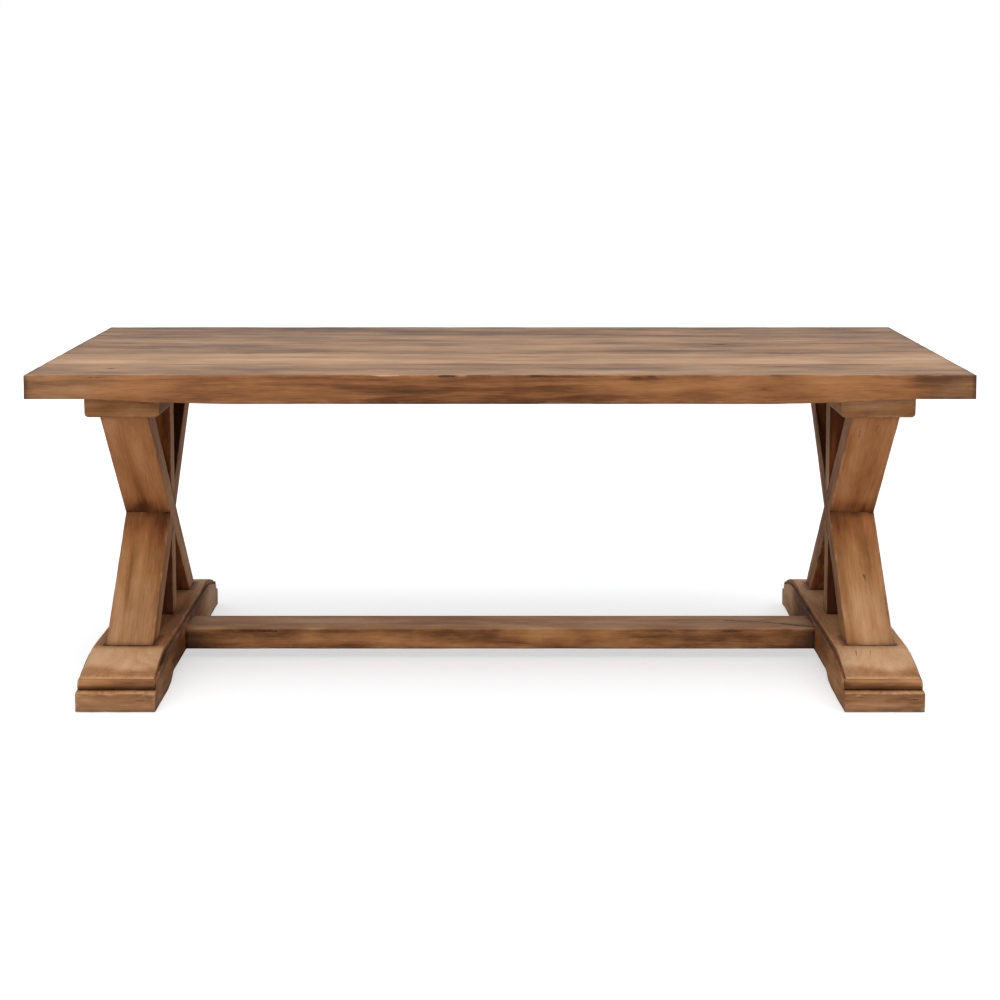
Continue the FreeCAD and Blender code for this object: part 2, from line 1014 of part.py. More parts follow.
    # half round beads across the two ends of the beam, over the foot blocks
    beads = []
    for k in (1, -1):
        bead = new_body(f"{prefix}_bead_body")
        mid = d.block_height + d.bead_radius
        pad(
            bead,
            "bead",
            "YZ_Plane",
            -d.bead_wide / 2,
            d.bead_wide,
            [
                (k * nose, d.block_height, d.bead_radius, k),
                (k * (nose + d.bead_radius), mid, d.bead_radius, k),
                (k * nose, mid + d.bead_radius),
            ],
        )
        beads.append(bead)
    node(group(prefix + "_bead_set", beads), prefix + "_base_beads", x, half_turn)

    # bolts, washers and barrel nuts that pull the stretcher to this base
    bolts, washers, barrels = [], [], []
    seat_x = half_b - d.bolt_well_deep + d.washer_thick
    for k in (1, -1):
        y = k * d.bolt_y
        bolts.append(
            fuse(
                "bolt",
                [
                    hexagon(
                        "head", d.bolt_head_r, d.bolt_head_tall, seat_x, y, stretcher_z, "x"
                    ),
                    cylinder(
                        "shank",
                        d.bolt_dia,
                        d.bolt_long,
                        seat_x - d.bolt_long,
                        y,
                        stretcher_z,
                        "x",
                    ),
                ],
            )
        )
        ring = cylinder(
            "washer",
            d.washer_dia,
            d.washer_thick,
            seat_x - d.washer_thick,
            y,
            stretcher_z,
            "x",
        )
        hole = cylinder(
            "hole",
            d.bolt_bore,
            d.washer_thick,
            seat_x - d.washer_thick,
            y,
            stretcher_z,
            "x",
        )
        washers.append(cut("washer", ring, [hole]))
        barrel_x = -half_b - d.barrel_in
        barrel = cylinder(
            "barrel",
            d.barrel_dia,
            d.barrel_long,
            barrel_x,
            y,
            stretcher_z - d.barrel_long / 2,
        )
        thread = cylinder(
            "thread",
            d.bolt_dia,
            d.barrel_dia,
            barrel_x - d.barrel_dia / 2,
            y,
            stretcher_z,
            "x",
        )
        barrels.append(cut("barrel_nut", barrel, [thread]))
    node(group(prefix + "_bolt_set", bolts), prefix + "_stretcher_bolts", x, half_turn)
    node(
        group(prefix + "_washer_set", washers), prefix + "_bolt_washers", x, half_turn
    )
    node(group(prefix + "_barrel_set", barrels), prefix + "_barrel_nuts", x, half_turn)


build_trestle("right", d.trestle_x, False)
build_trestle("left", -d.trestle_x, True)

# ----------------------------------------------------------------- stretcher
stretcher = new_body("stretcher_body")
half_st = d.stretcher_wide / 2
pad(
    stretcher,
    "rail",
    "YZ_Plane",
    -shoulder,
    shoulder * 2,
    rectangle(-half_st, half_st, d.stretcher_bottom, d.stretcher_top),
)
reach = shoulder + d.stub_long
pad(
    stretcher,
    "stubs",
    "YZ_Plane",
    -reach,
    reach * 2,
    rectangle(
        -d.stub_wide / 2,
        d.stub_wide / 2,
        stretcher_z - d.stub_tall / 2,
        stretcher_z + d.stub_tall / 2,
    ),
)
tools = []
bore_deep = d.bolt_long - (d.base_wide - d.bolt_well_deep) + d.stub_long + 5
for k in (1, -1):
    for m in (1, -1):
        start = reach - bore_deep if m == 1 else -reach
        tools.append(
            cylinder(
                "bolt_bore",
                d.bolt_bore,
                bore_deep,
                start,
                k * d.bolt_y,
                stretcher_z,
                "x",
            )
        )
        tools.append(
            cylinder(
                "barrel_bore",
                d.barrel_dia,
                stretcher_z + d.barrel_long / 2 - d.stretcher_bottom,
                m * (shoulder - d.barrel_in),
                k * d.bolt_y,
                d.stretcher_bottom,
            )
        )
node(cut("stretcher_cut", stretcher, tools), "stretcher")

# -------------------------------------------------------------------- export
doc.recompute()
for obj in doc.Objects:
    if "Invalid" in obj.State or "Error" in obj.State:
        raise RuntimeError(f"{obj.Name} ({obj.Label}): {obj.State}")
labels = [obj.Label for obj in NODES]
if len(set(labels)) != len(labels):
    raise RuntimeError("two sub-parts share a name")
os.makedirs("parts", exist_ok=True)
whole = FreeCAD.BoundBox()
for obj in NODES:
    shape = obj.Shape
    if shape.isNull() or not shape.isValid() or not shape.Solids:
        raise RuntimeError(f"{obj.Label}: the shape isn't a valid solid")
    shape.exportStep(os.path.join("parts", obj.Label + ".step"))
    whole.add(shape.BoundBox)
    box_ = shape.BoundBox
    print(
        f"{obj.Label:26s} solids {len(shape.Solids)}  "
        f"x {box_.XMin:8.1f} {box_.XMax:8.1f}  y {box_.YMin:7.1f} {box_.YMax:7.1f}  "
        f"z {box_.ZMin:6.1f} {box_.ZMax:6.1f}  volume {shape.Volume / 1000:9.1f} cm3"
    )
print(
    f"{len(NODES)} nodes, whole box {whole.XLength:.2f} x {whole.YLength:.2f} x "
    f"{whole.ZLength:.2f}, z from {whole.ZMin:.2f}"
)
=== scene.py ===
import math

import bmesh
import bpy
import numpy as np
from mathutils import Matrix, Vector


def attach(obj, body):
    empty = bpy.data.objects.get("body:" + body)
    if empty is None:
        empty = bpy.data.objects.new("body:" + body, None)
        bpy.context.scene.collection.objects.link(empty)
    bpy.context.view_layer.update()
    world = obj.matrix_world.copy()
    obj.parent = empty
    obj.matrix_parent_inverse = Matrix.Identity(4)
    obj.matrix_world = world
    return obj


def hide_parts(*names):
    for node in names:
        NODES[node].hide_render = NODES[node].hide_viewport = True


# A rustic trestle dining table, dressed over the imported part. Metres, +Z up, -Y is
# the front. Every wooden piece is the CAD piece itself with its arrises rounded and
# worn, so each one stays where its node is.

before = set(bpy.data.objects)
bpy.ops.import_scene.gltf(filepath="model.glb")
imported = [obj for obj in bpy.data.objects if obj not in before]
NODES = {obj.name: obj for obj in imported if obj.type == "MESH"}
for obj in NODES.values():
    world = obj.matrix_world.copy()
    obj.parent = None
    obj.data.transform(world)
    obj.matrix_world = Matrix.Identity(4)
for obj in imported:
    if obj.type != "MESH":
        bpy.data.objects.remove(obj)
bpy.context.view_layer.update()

TRESTLE_X = 0.861
CROSS_Z = 0.364
SLOPE = 1.055
CAP_Z = 0.646
PLATE_Z = 0.105
TOP_Z = 0.762
UNDER_Z = 0.708

# light
FILL = 0.72
OVERHEAD = 1.1
FRONT = 1.3
FLOOR_BOUNCE = 0.55
FLOOR_SHADE = 0.62
FLOOR_GLOW = 0.563


# --------------------------------------------------------------------- noise
def lattice(i, j, k, seed):
    n = (
        i.astype(np.uint32) * np.uint32(374761393)
        + j.astype(np.uint32) * np.uint32(668265263)
        + k.astype(np.uint32) * np.uint32(2246822519)
        + np.uint32((seed * 3266489917) & 0xFFFFFFFF)
    )
    n = (n ^ (n >> np.uint32(15))) * np.uint32(2246822519)
    n = (n ^ (n >> np.uint32(13))) * np.uint32(3266489917)
    n = n ^ (n >> np.uint32(16))
    return n.astype(np.float64) / 4294967295.0


def value_noise(p, scale, seed=0):
    """Smooth noise from 0 to 1 at points p, with scale features for each metre."""
    q = p * np.asarray(scale, float) + 1000.0
    i = np.floor(q).astype(np.int64)
    f = q - i
    f = f * f * f * (f * (f * 6 - 15) + 10)
    out = 0.0
    for a in (0, 1):
        for b in (0, 1):
            for c in (0, 1):
                w = (
                    (f[:, 0] if a else 1 - f[:, 0])
                    * (f[:, 1] if b else 1 - f[:, 1])
                    * (f[:, 2] if c else 1 - f[:, 2])
                )
                out = out + w * lattice(i[:, 0] + a, i[:, 1] + b, i[:, 2] + c, seed)
    return out


def layered(p, scale, octaves=3, seed=0):
    total, size, weight = 0.0, 1.0, 0.0
    for n in range(octaves):
        total = total + size * value_noise(p, np.asarray(scale, float) * 2**n, seed + n)
        weight += size
        size *= 0.5
    return total / weight


def smooth(lo, hi, x):
    t = np.clip((x - lo) / (hi - lo), 0, 1)
    return t * t * (3 - 2 * t)


# -------------------------------------------------------------------- meshes
def cad_solid(name):
    """The CAD node's mesh, with its flat faces whole again."""
    bm = bmesh.new()
    bm.from_mesh(NODES[name].data)
    bmesh.ops.remove_doubles(bm, verts=bm.verts, dist=2e-5)
    bmesh.ops.dissolve_degenerate(bm, dist=1e-6, edges=bm.edges)
    bmesh.ops.dissolve_limit(
        bm,
        angle_limit=math.radians(0.5),
        use_dissolve_boundaries=False,
        verts=bm.verts,
        edges=bm.edges,
    )
    bm.normal_update()
    return bm


def round_arrises(bm, width, pick, segments=3, angle=20.0):
    """Rounds the convex edges that pick accepts. Returns them as segments."""
    chosen, lines = [], []
    for e in bm.edges:
        if len(e.link_faces) != 2:
            continue
        if e.calc_face_angle_signed(0) < math.radians(angle):
            continue
        a, b = e.verts[0].co.copy(), e.verts[1].co.copy()
        if pick(a, b):
            chosen.append(e)
            lines.append((a, b))
    if chosen:
        bmesh.ops.bevel(
            bm,
            geom=chosen,
            offset=width,
            offset_type="OFFSET",
            segments=segments,
            profile=0.5,
            affect="EDGES",
            clamp_overlap=False,
            miter_outer="SHARP",
            miter_inner="SHARP",
        )
        bm.normal_update()
    return lines


def slice_up(bm, normal, places):
    """Cuts every face along planes across normal, at these distances."""
    n = Vector(normal)
    for s in places:
        bmesh.ops.bisect_plane(
            bm,
            geom=bm.verts[:] + bm.edges[:] + bm.faces[:],
            dist=1e-6,
            plane_co=n * float(s),
            plane_no=n,
            clear_inner=False,
            clear_outer=False,
        )


def even(lo, hi, step):
    n = max(1, int(round((hi - lo) / step)))
    return [lo + (hi - lo) * k / n for k in range(1, n)]


def distance_to(lines, p):
    """Distance from each point to the nearest of these segments."""
    best = np.full(len(p), 1.0)
    for a, b in lines:
        a, b = np.array(a), np.array(b)
        d = b - a
        t = np.clip(((p - a) @ d) / max(d @ d, 1e-12), 0, 1)
        gap = np.linalg.norm(p - (a + t[:, None] * d), axis=1)
        best = np.minimum(best, gap)
    return best


PIECES = []


def none(p, n):
    return np.zeros(len(p))


def finish_piece(
    bm, node, axes, centre, pith, lines, seed, wear, painted_shade, tone_and_shading, material,
    ends="rings", side=None, dents=None, hue_and_shading=None,
):
    """Wears the mesh, gives it its grain and turns it into the piece of that node.

    axes are the grain's directions (along, across, through); pith is where the
    heart of the tree is from centre, as (across, through). ends says what the end
    faces show: the rings, or streaks across. The painted shade, tone, side and hue
    arguments are functions of places and of the normals there. The painted shade
    darkens corners, creases and under parts nearly to black; the tone lightens or
    darkens the wood, both with its own stains and marks and as painted light and
    shade; the hue adds to the greyer share of the colour, which paints a grey sheen
    in places, and under -0.45 makes it darker and redder, which paints deep shade.
    """
    side, hue_and_shading = side or none, hue_and_shading or none
    wide = [f for f in bm.faces if len(f.verts) > 4]
    bmesh.ops.triangulate(bm, faces=wide, quad_method="BEAUTY", ngon_method="BEAUTY")
    bm.normal_update()
    bm.verts.ensure_lookup_table()
    p = np.array([v.co[:] for v in bm.verts])
    n = np.array([v.normal[:] for v in bm.verts])
    edge = distance_to(lines, p)
    u, v, w = (np.array(a, float) for a in axes)
    centre = np.array(centre, float)
    local = np.stack([(p - centre) @ u, (p - centre) @ v, (p - centre) @ w], axis=1)
    shift = np.array([7.31 * seed, 3.17 * seed, 1.93 * seed])

    # wear: arrises lose a little, more in places, and faces aren't quite flat
    soft = layered(local + shift, (9, 30, 30), 3, seed)
    nicks = layered(local + shift, (55, 70, 70), 2, seed + 9)
    close = np.exp(-((edge / 0.0028) ** 2))
    depth = close * (
        wear * smooth(0.45, 0.75, soft) + 0.7 * wear * smooth(0.64, 0.86, nicks)
    )
    swell = 0.00022 * layered(local + shift, (4, 14, 14), 2, seed + 21)
    p2 = p - n * (depth + swell)[:, None]
    if dents is not None:
        p2 = p2 + dents(p)

    me = bpy.data.meshes.new(node + "_wood")
    bm.to_mesh(me)
    bm.free()
    me.vertices.foreach_set("co", p2.astype(np.float32).ravel())
    me.polygons.foreach_set("use_smooth", np.ones(len(me.polygons), bool))
    me.set_sharp_from_angle(angle=math.radians(40))
    me.update()

    def store(name, kind, values, domain="POINT"):
        a = me.attributes.new(name, kind, domain)
        field = "vector" if kind == "FLOAT_VECTOR" else "value"
        a.data.foreach_set(field, np.asarray(values, np.float32).ravel())

    corners = np.zeros(len(me.loops), np.int32)
    me.loops.foreach_get("vertex_index", corners)
    sizes = np.zeros(len(me.polygons), np.int32)
    me.polygons.foreach_get("loop_total", sizes)
    facing = np.zeros(len(me.polygons) * 3, np.float32)
    me.polygons.foreach_get("normal", facing)
    facing = np.repeat(facing.reshape(-1, 3), sizes, axis=0)
    run = local[corners] + shift
    ring = np.stack(
        [run[:, 0], local[corners, 1] - pith[0], local[corners, 2] - pith[1]], 1
    )
    at_end = np.abs(facing @ u) > 0.75
    if ends == "streaks":
        turned = np.stack([local[corners, 1], local[corners, 2], local[corners, 0]], 1)
        turned = turned + shift + 4.0
        run = np.where(at_end[:, None], turned, run)
        flat = np.stack([turned[:, 0], turned[:, 1] * 0 + 0.25, local[corners, 2] * 0.4], 1)
        ring = np.where(at_end[:, None], flat, ring)
    store("grain", "FLOAT_VECTOR", run, "CORNER")
    store("ring", "FLOAT_VECTOR", ring, "CORNER")
    store("end", "FLOAT", at_end * (1.0 if ends == "rings" else 0.0), "CORNER")
    store("side", "FLOAT", side(p[corners], facing), "CORNER")
    store("hue_and_shading", "FLOAT", hue_and_shading(p[corners], facing), "CORNER")
    store("arris", "FLOAT", np.exp(-edge / 0.006))
    store("painted_shade", "FLOAT", np.clip(painted_shade(p[corners], facing), 0, 1), "CORNER")
    store("tone_and_shading", "FLOAT", tone_and_shading(p[corners], facing), "CORNER")
    me.materials.clear()
    me.materials.append(material)
    me.polygons.foreach_set("material_index", np.zeros(len(me.polygons), np.int32))
    me.update()
    o = bpy.data.objects.new(node + "_wood", me)
    bpy.context.scene.collection.objects.link(o)
    level = o.modifiers.new("normals", "WEIGHTED_NORMAL")
    level.keep_sharp = True
    dg = bpy.context.evaluated_depsgraph_get()
    whole = bpy.data.meshes.new_from_object(o.evaluated_get(dg), depsgraph=dg)
    o.modifiers.clear()
    o.data = whole
    whole.name = node + "_wood"
    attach(o, "root")
    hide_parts(node)
    PIECES.append(o)
    return o


X, Y, Z = (1, 0, 0), (0, 1, 0), (0, 0, 1)


def spots(p, marks):
    """Sum of soft spots, each (x, y, length, width, strength), on the XY plane."""
    out = np.zeros(len(p))
    for x, y, a, b, s in marks:
        d = ((p[:, 0] - x) / a) ** 2 + ((p[:, 1] - y) / b) ** 2
        out = out + s * np.exp(-d)
    return out


# ----------------------------------------------------------------- materials
class Tree:
    """Short calls to build a material's nodes."""

    def __init__(self, name):
        self.mat = bpy.data.materials.new(name)
        self.mat.use_nodes = True
        self.nt = self.mat.node_tree
        self.nt.nodes.clear()

    def node(self, kind, **props):
        n = self.nt.nodes.new(kind)
        for key, value in props.items():
            setattr(n, key, value)
        return n

    def put(self, socket, value):
        if isinstance(value, bpy.types.NodeSocket):
            self.nt.links.new(value, socket)
        else:
            socket.default_value = value

    def math(self, op, a, b=0.0, c=0.0, clamp=False):
        n = self.node("ShaderNodeMath", operation=op, use_clamp=clamp)
        self.put(n.inputs[0], a)
        self.put(n.inputs[1], b)
        if len(n.inputs) > 2:
            self.put(n.inputs[2], c)
        return n.outputs[0]

    def vector(self, op, a, b):
        n = self.node("ShaderNodeVectorMath", operation=op)
        self.put(n.inputs[0], a)
        self.put(n.inputs[1], b)
        return n.outputs[0]

    def attribute(self, name, vector=False):
        n = self.node("ShaderNodeAttribute", attribute_name=name)
        return n.outputs["Vector" if vector else "Fac"]

    def noise(self, vector, scale, detail=2.0, rough=0.5, shift=(0.0, 0.0, 0.0)):
        """Noise about 0.5 with scale features for each metre along each axis."""
        v = self.vector("MULTIPLY", vector, tuple(float(s) for s in scale))
        if any(shift):
            v = self.vector("ADD", v, shift)
        n = self.node("ShaderNodeTexNoise", noise_dimensions="3D")
        self.put(n.inputs["Vector"], v)
        self.put(n.inputs["Scale"], 1.0)
        self.put(n.inputs["Detail"], float(detail))
        self.put(n.inputs["Roughness"], rough)
        return n.outputs["Fac"]

    def gap(self, g, a, b):
        """Distance from g to the segment from a to b."""
        a, b = Vector(a), Vector(b)
        run = b - a
        from_a = self.vector("SUBTRACT", g, tuple(a))
        if run.length < 1e-6:
            away = from_a
        else:
            n = self.node("ShaderNodeVectorMath", operation="DOT_PRODUCT")
            self.put(n.inputs[0], from_a)
            self.put(n.inputs[1], tuple(run / run.length_squared))
            t = self.math("MAXIMUM", self.math("MINIMUM", n.outputs["Value"], 1.0), 0.0)
            n = self.node("ShaderNodeVectorMath", operation="SCALE")
            self.put(n.inputs[0], tuple(run))
            self.put(n.inputs["Scale"], t)
            away = self.vector("SUBTRACT", from_a, n.outputs[0])
        n = self.node("ShaderNodeVectorMath", operation="LENGTH")
        self.put(n.inputs[0], away)
        return n.outputs["Value"]

    def ease(self, value, lo, hi, to_lo=0.0, to_hi=1.0):
        n = self.node("ShaderNodeMapRange", interpolation_type="SMOOTHSTEP")
        self.put(n.inputs["Value"], value)
        self.put(n.inputs["From Min"], lo)
        self.put(n.inputs["From Max"], hi)
        self.put(n.inputs["To Min"], to_lo)
        self.put(n.inputs["To Max"], to_hi)
        return n.outputs["Result"]

    def ramp(self, value, stops):
        n = self.node("ShaderNodeValToRGB")
        r = n.color_ramp
        while len(r.elements) < len(stops):
            r.elements.new(0.5)
        for e, (at, colour) in zip(r.elements, stops):
            e.position = at
            e.color = (*colour, 1.0) if len(colour) == 3 else colour
        self.put(n.inputs["Fac"], value)
        return n.outputs["Color"]

    def mix(self, share, a, b, kind="MIX"):
        n = self.node("ShaderNodeMix", data_type="RGBA", blend_type=kind)
        self.put(n.inputs[0], share)
        self.put(n.inputs[6], a if not isinstance(a, tuple) else (*a, 1.0))
        self.put(n.inputs[7], b if not isinstance(b, tuple) else (*b, 1.0))
        return n.outputs[2]


def wood(name, honey, aged, stain, share_aged=(0.42, 0.66, 0.0, 0.5), broad=0.9,
         streak=0.55, mottle=0.55, fine=0.26, ring_dark=0.10, ring_width=0.011,
         smudge=0.45, smudge_from=(0.54, 0.72), edge_dark=0.5, edge_light=0.35,
         rough=(0.46, 0.60), bump=0.25, specular=0.42, sides=None, side_specular=0.12,
         marks=(), wide_scale=(1.5, 12, 12), mid_scale=(3.0, 44, 44),
         patch_scale=(7, 20, 20), side_contrast=1.0, dashes=0.45):
    """Aged, stained softwood. honey and aged are its colours from dark to pale.

    sides is a second list of colours for faces whose side attribute is 1. marks are
    cracks and knots, each (start, end, half width, strength), in grain coordinates.
    """
    t = Tree(name)
    g = t.attribute("grain", True)
    split = t.node("ShaderNodeSeparateXYZ")
    t.put(split.inputs[0], t.attribute("ring", True))
    arris, painted_shade, tone_and_shading, end = (t.attribute(a) for a in ("arris", "painted_shade", "tone_and_shading", "end"))

    # growth rings, cut by the board's own faces, soft under the finish
    warp_a = t.noise(g, (0.9, 4, 4), 2)
    warp_b = t.noise(g, (1.2, 5, 5), 2, shift=(9.0, 4.0, 1.0))
    ry = t.math("MULTIPLY_ADD", t.math("SUBTRACT", warp_a, 0.5), 0.05, split.outputs[1])
    rz = t.math("MULTIPLY_ADD", t.math("SUBTRACT", warp_b, 0.5), 0.05, split.outputs[2])
    far = t.math(
        "SQRT", t.math("ADD", t.math("MULTIPLY", ry, ry), t.math("MULTIPLY", rz, rz))
    )
    turn = t.math("DIVIDE", far, ring_width)
    uneven = t.noise(g, (2.2, 26, 26), 2, shift=(1.0, 8.0, 3.0))
    turn = t.math("MULTIPLY_ADD", uneven, 2.2, turn)
    turn = t.math("MULTIPLY_ADD", t.noise(g, (9, 120, 120), 2), 0.4, turn)
    late = t.ramp(
        t.math("FRACT", turn),
        [(0.0, (0, 0, 0)), (0.30, (0.10,) * 3), (0.66, (0.8,) * 3), (0.80, (1,) * 3), (1.0, (0, 0, 0))],
    )
    there = t.ease(t.noise(g, (0.9, 10, 10), 2, shift=(3.0, 7.0, 2.0)), 0.40, 0.66, 0.12, 1.0)
    there = t.math("MAXIMUM", there, end)
    late = t.math("MULTIPLY", late, there)

    wide = t.noise(g, wide_scale, 3, 0.55)
    mid = t.noise(g, mid_scale, 4, 0.55, shift=(2.0, 5.0, 8.0))
    patchy = t.noise(g, patch_scale, 4, 0.6, shift=(6.0, 2.0, 4.0))
    fibre = t.noise(g, (16, 330, 330), 2, 0.6)
    swing = t.math("MULTIPLY", t.math("SUBTRACT", wide, 0.5), broad)
    swing = t.math("MULTIPLY_ADD", t.math("SUBTRACT", mid, 0.5), streak, swing)
    swing = t.math("MULTIPLY_ADD", t.math("SUBTRACT", patchy, 0.5), mottle, swing)
    calm = t.ease(t.attribute("side"), 0.0, 1.0, 1.0, side_contrast)
    swing = t.math("MULTIPLY", swing, calm)
    value = t.math("ADD", swing, 0.5)
    value = t.math("MULTIPLY_ADD", t.math("SUBTRACT", fibre, 0.5), fine, value)
    value = t.math("MULTIPLY_ADD", late, -ring_dark, value)
    value = t.math("MULTIPLY_ADD", end, -0.12, value)
    # the tone attribute adds the wood's own stains and marks, and painted light and shade by where a face
    # sits and which way it faces
    value = t.math("ADD", value, tone_and_shading, clamp=True)
    colour = t.ramp(value, honey)
    hue_and_shading = t.ease(t.noise(g, (1.8, 7, 7), 4, 0.6, shift=(7.0, 3.0, 9.0)), *share_aged)
    hue_and_shading = t.math("MULTIPLY", hue_and_shading, t.ease(value, 0.30, 0.62, 0.45, 1.0))
    hue_and_shading = t.math("ADD", hue_and_shading, t.attribute("hue_and_shading"), clamp=True)
    colour = t.mix(hue_and_shading, colour, t.ramp(value, aged))
    # where the hue attribute is well under 0 the colour is darker and redder: painted deep shade on the
    # posts' wide faces, the legs' inner faces and the beams' inner sides, and redder upper legs
    deep = t.ease(t.attribute("hue_and_shading"), -1.6, -0.45, 1.0, 0.0)
    colour = t.mix(deep, colour, (1.0, 0.66, 0.50), "MULTIPLY")
    if sides:
        colour = t.mix(t.attribute("side"), colour, t.ramp(value, sides))

    # the glaze has sunk in unevenly
    cloud = t.noise(g, (3.2, 13, 13), 4, 0.62, shift=(5.0, 1.0, 6.0))
    sunk = t.ease(cloud, smudge_from[0], smudge_from[1], 0.0, smudge)
    sunk = t.math("MULTIPLY", sunk, calm)
    colour = t.mix(sunk, colour, stain, "MULTIPLY")
    dash = t.ease(
        t.noise(g, (8, 120, 120), 2, 0.6, shift=(1.0, 2.0, 3.0)), 0.68, 0.80, 0.0, dashes
    )
    dash = t.math("MULTIPLY", dash, calm)
    colour = t.mix(dash, colour, stain, "MULTIPLY")

    # worn arrises: dark where the glaze has caught, pale where it has rubbed off
    patch = t.noise(g, (14, 40, 40), 3, 0.6, shift=(4.0, 4.0, 0.0))
    dark_edge = t.math(
        "MULTIPLY", t.math("POWER", arris, 0.8), t.ease(patch, 0.40, 0.62, 0.18, edge_dark)
    )
    colour = t.mix(dark_edge, colour, stain, "MULTIPLY")
    rub = t.math(
        "MULTIPLY",
        t.math("POWER", arris, 2.2),
        t.ease(t.noise(g, (20, 60, 60), 3, 0.6), 0.48, 0.66, 0.0, edge_light),
    )
    rub = t.math("MULTIPLY", rub, t.ease(tone_and_shading, -0.30, -0.05, 0.10, 1.0))
    colour = t.mix(rub, colour, honey[-1][1])

    # painted shade in corners, creases and under parts, broken up a little by noise
    corner_shade = t.math(
        "MULTIPLY", painted_shade, t.ease(t.noise(g, (6, 26, 26), 3, 0.6), 0.25, 0.65, 0.6, 1.0), clamp=True
    )
    colour = t.mix(corner_shade, colour, (0.030, 0.013, 0.006))

    # cracks and knots
    drift = t.noise(g, (40, 90, 90), 2, shift=(2.0, 9.0, 5.0))
    split_here = None
    for a, b, half, strength in marks:
        away = t.math(
            "MULTIPLY_ADD", t.math("SUBTRACT", drift, 0.5), half * 2.4, t.gap(g, a, b)
        )
        dark = t.ease(away, half * 0.35, half * 1.25, strength, 0.0)
        split_here = dark if split_here is None else t.math("MAXIMUM", split_here, dark)
    if split_here is not None:
        crumbs = t.noise(g, (110, 300, 300), 3, 0.6, shift=(8.0, 2.0, 5.0))
        split_here = t.math("MULTIPLY", split_here, t.ease(crumbs, 0.34, 0.54, 0.35, 1.0))
        colour = t.mix(split_here, colour, (0.020, 0.008, 0.003))

    height = t.math("MULTIPLY_ADD", late, -0.5, t.math("MULTIPLY", fibre, 0.7))
    height = t.math("MULTIPLY_ADD", mid, 0.8, height)
    height = t.math("MULTIPLY_ADD", dash, -0.8, height)
    if split_here is not None:
        height = t.math("MULTIPLY_ADD", split_here, -2.5, height)
    relief = t.node("ShaderNodeBump")
    t.put(relief.inputs["Strength"], bump)
    t.put(relief.inputs["Distance"], 0.0012)
    t.put(relief.inputs["Height"], height)

    gloss = t.ease(t.math("ADD", mid, t.math("MULTIPLY", sunk, 0.3)), 0.3, 0.8, rough[0], rough[1])
    p = t.node("ShaderNodeBsdfPrincipled")
    t.put(p.inputs["Base Color"], colour)
    t.put(p.inputs["Roughness"], gloss)
    if sides:
        shine = t.ease(t.attribute("side"), 0.0, 1.0, specular, side_specular)
    else:
        shine = specular
    t.put(p.inputs["Specular IOR Level"], shine)
    t.put(p.inputs["Normal"], relief.outputs[0])
    out = t.node("ShaderNodeOutputMaterial")
    t.put(out.inputs["Surface"], p.outputs[0])
    return t.mat


def board_at(number, x, y, z):
    """Grain coordinates of a place on top board number (0 is the front one)."""
    s = number + 1
    yc = -0.4 + 0.2 * number
    return (x + 7.31 * s, y - yc + 3.17 * s, z - 0.735 + 1.93 * s)


def in_grain(seed, u, v, w, more=0.0):
    return (u + 7.31 * seed + more, v + 3.17 * seed + more, w + 1.93 * seed + more)


def stretcher_at(x, y, z):
    return in_grain(11, x, y, z - 0.054)


def leg_at(side, x, z):
    """A place on the front of a trestle's legs, side -1 or 1."""
    run = 1 if z < CROSS_Z else -1
    turn = math.atan(SLOPE)
    y, up = run * (z - CROSS_Z) * SLOPE - 0.042, z - CROSS_Z
    return in_grain(
        (20 if side < 0 else 40) + (2 if run > 0 else 3),
        y * run * math.sin(turn) + up * math.cos(turn),
        x - side * TRESTLE_X,
        y * math.cos(turn) - up * run * math.sin(turn),
    )


def base_board_at(side, x, y):
    z = 0.105 - max(0.0, abs(y) - 0.335) * 0.15
    return in_grain(26 if side < 0 else 46, y, x - side * TRESTLE_X, z - 0.098)


def block_at(side, x, z):
    """A place on the front of a foot block."""
    return in_grain(27 if side < 0 else 47, x - side * TRESTLE_X, z - 0.045, -0.5, 4.0)


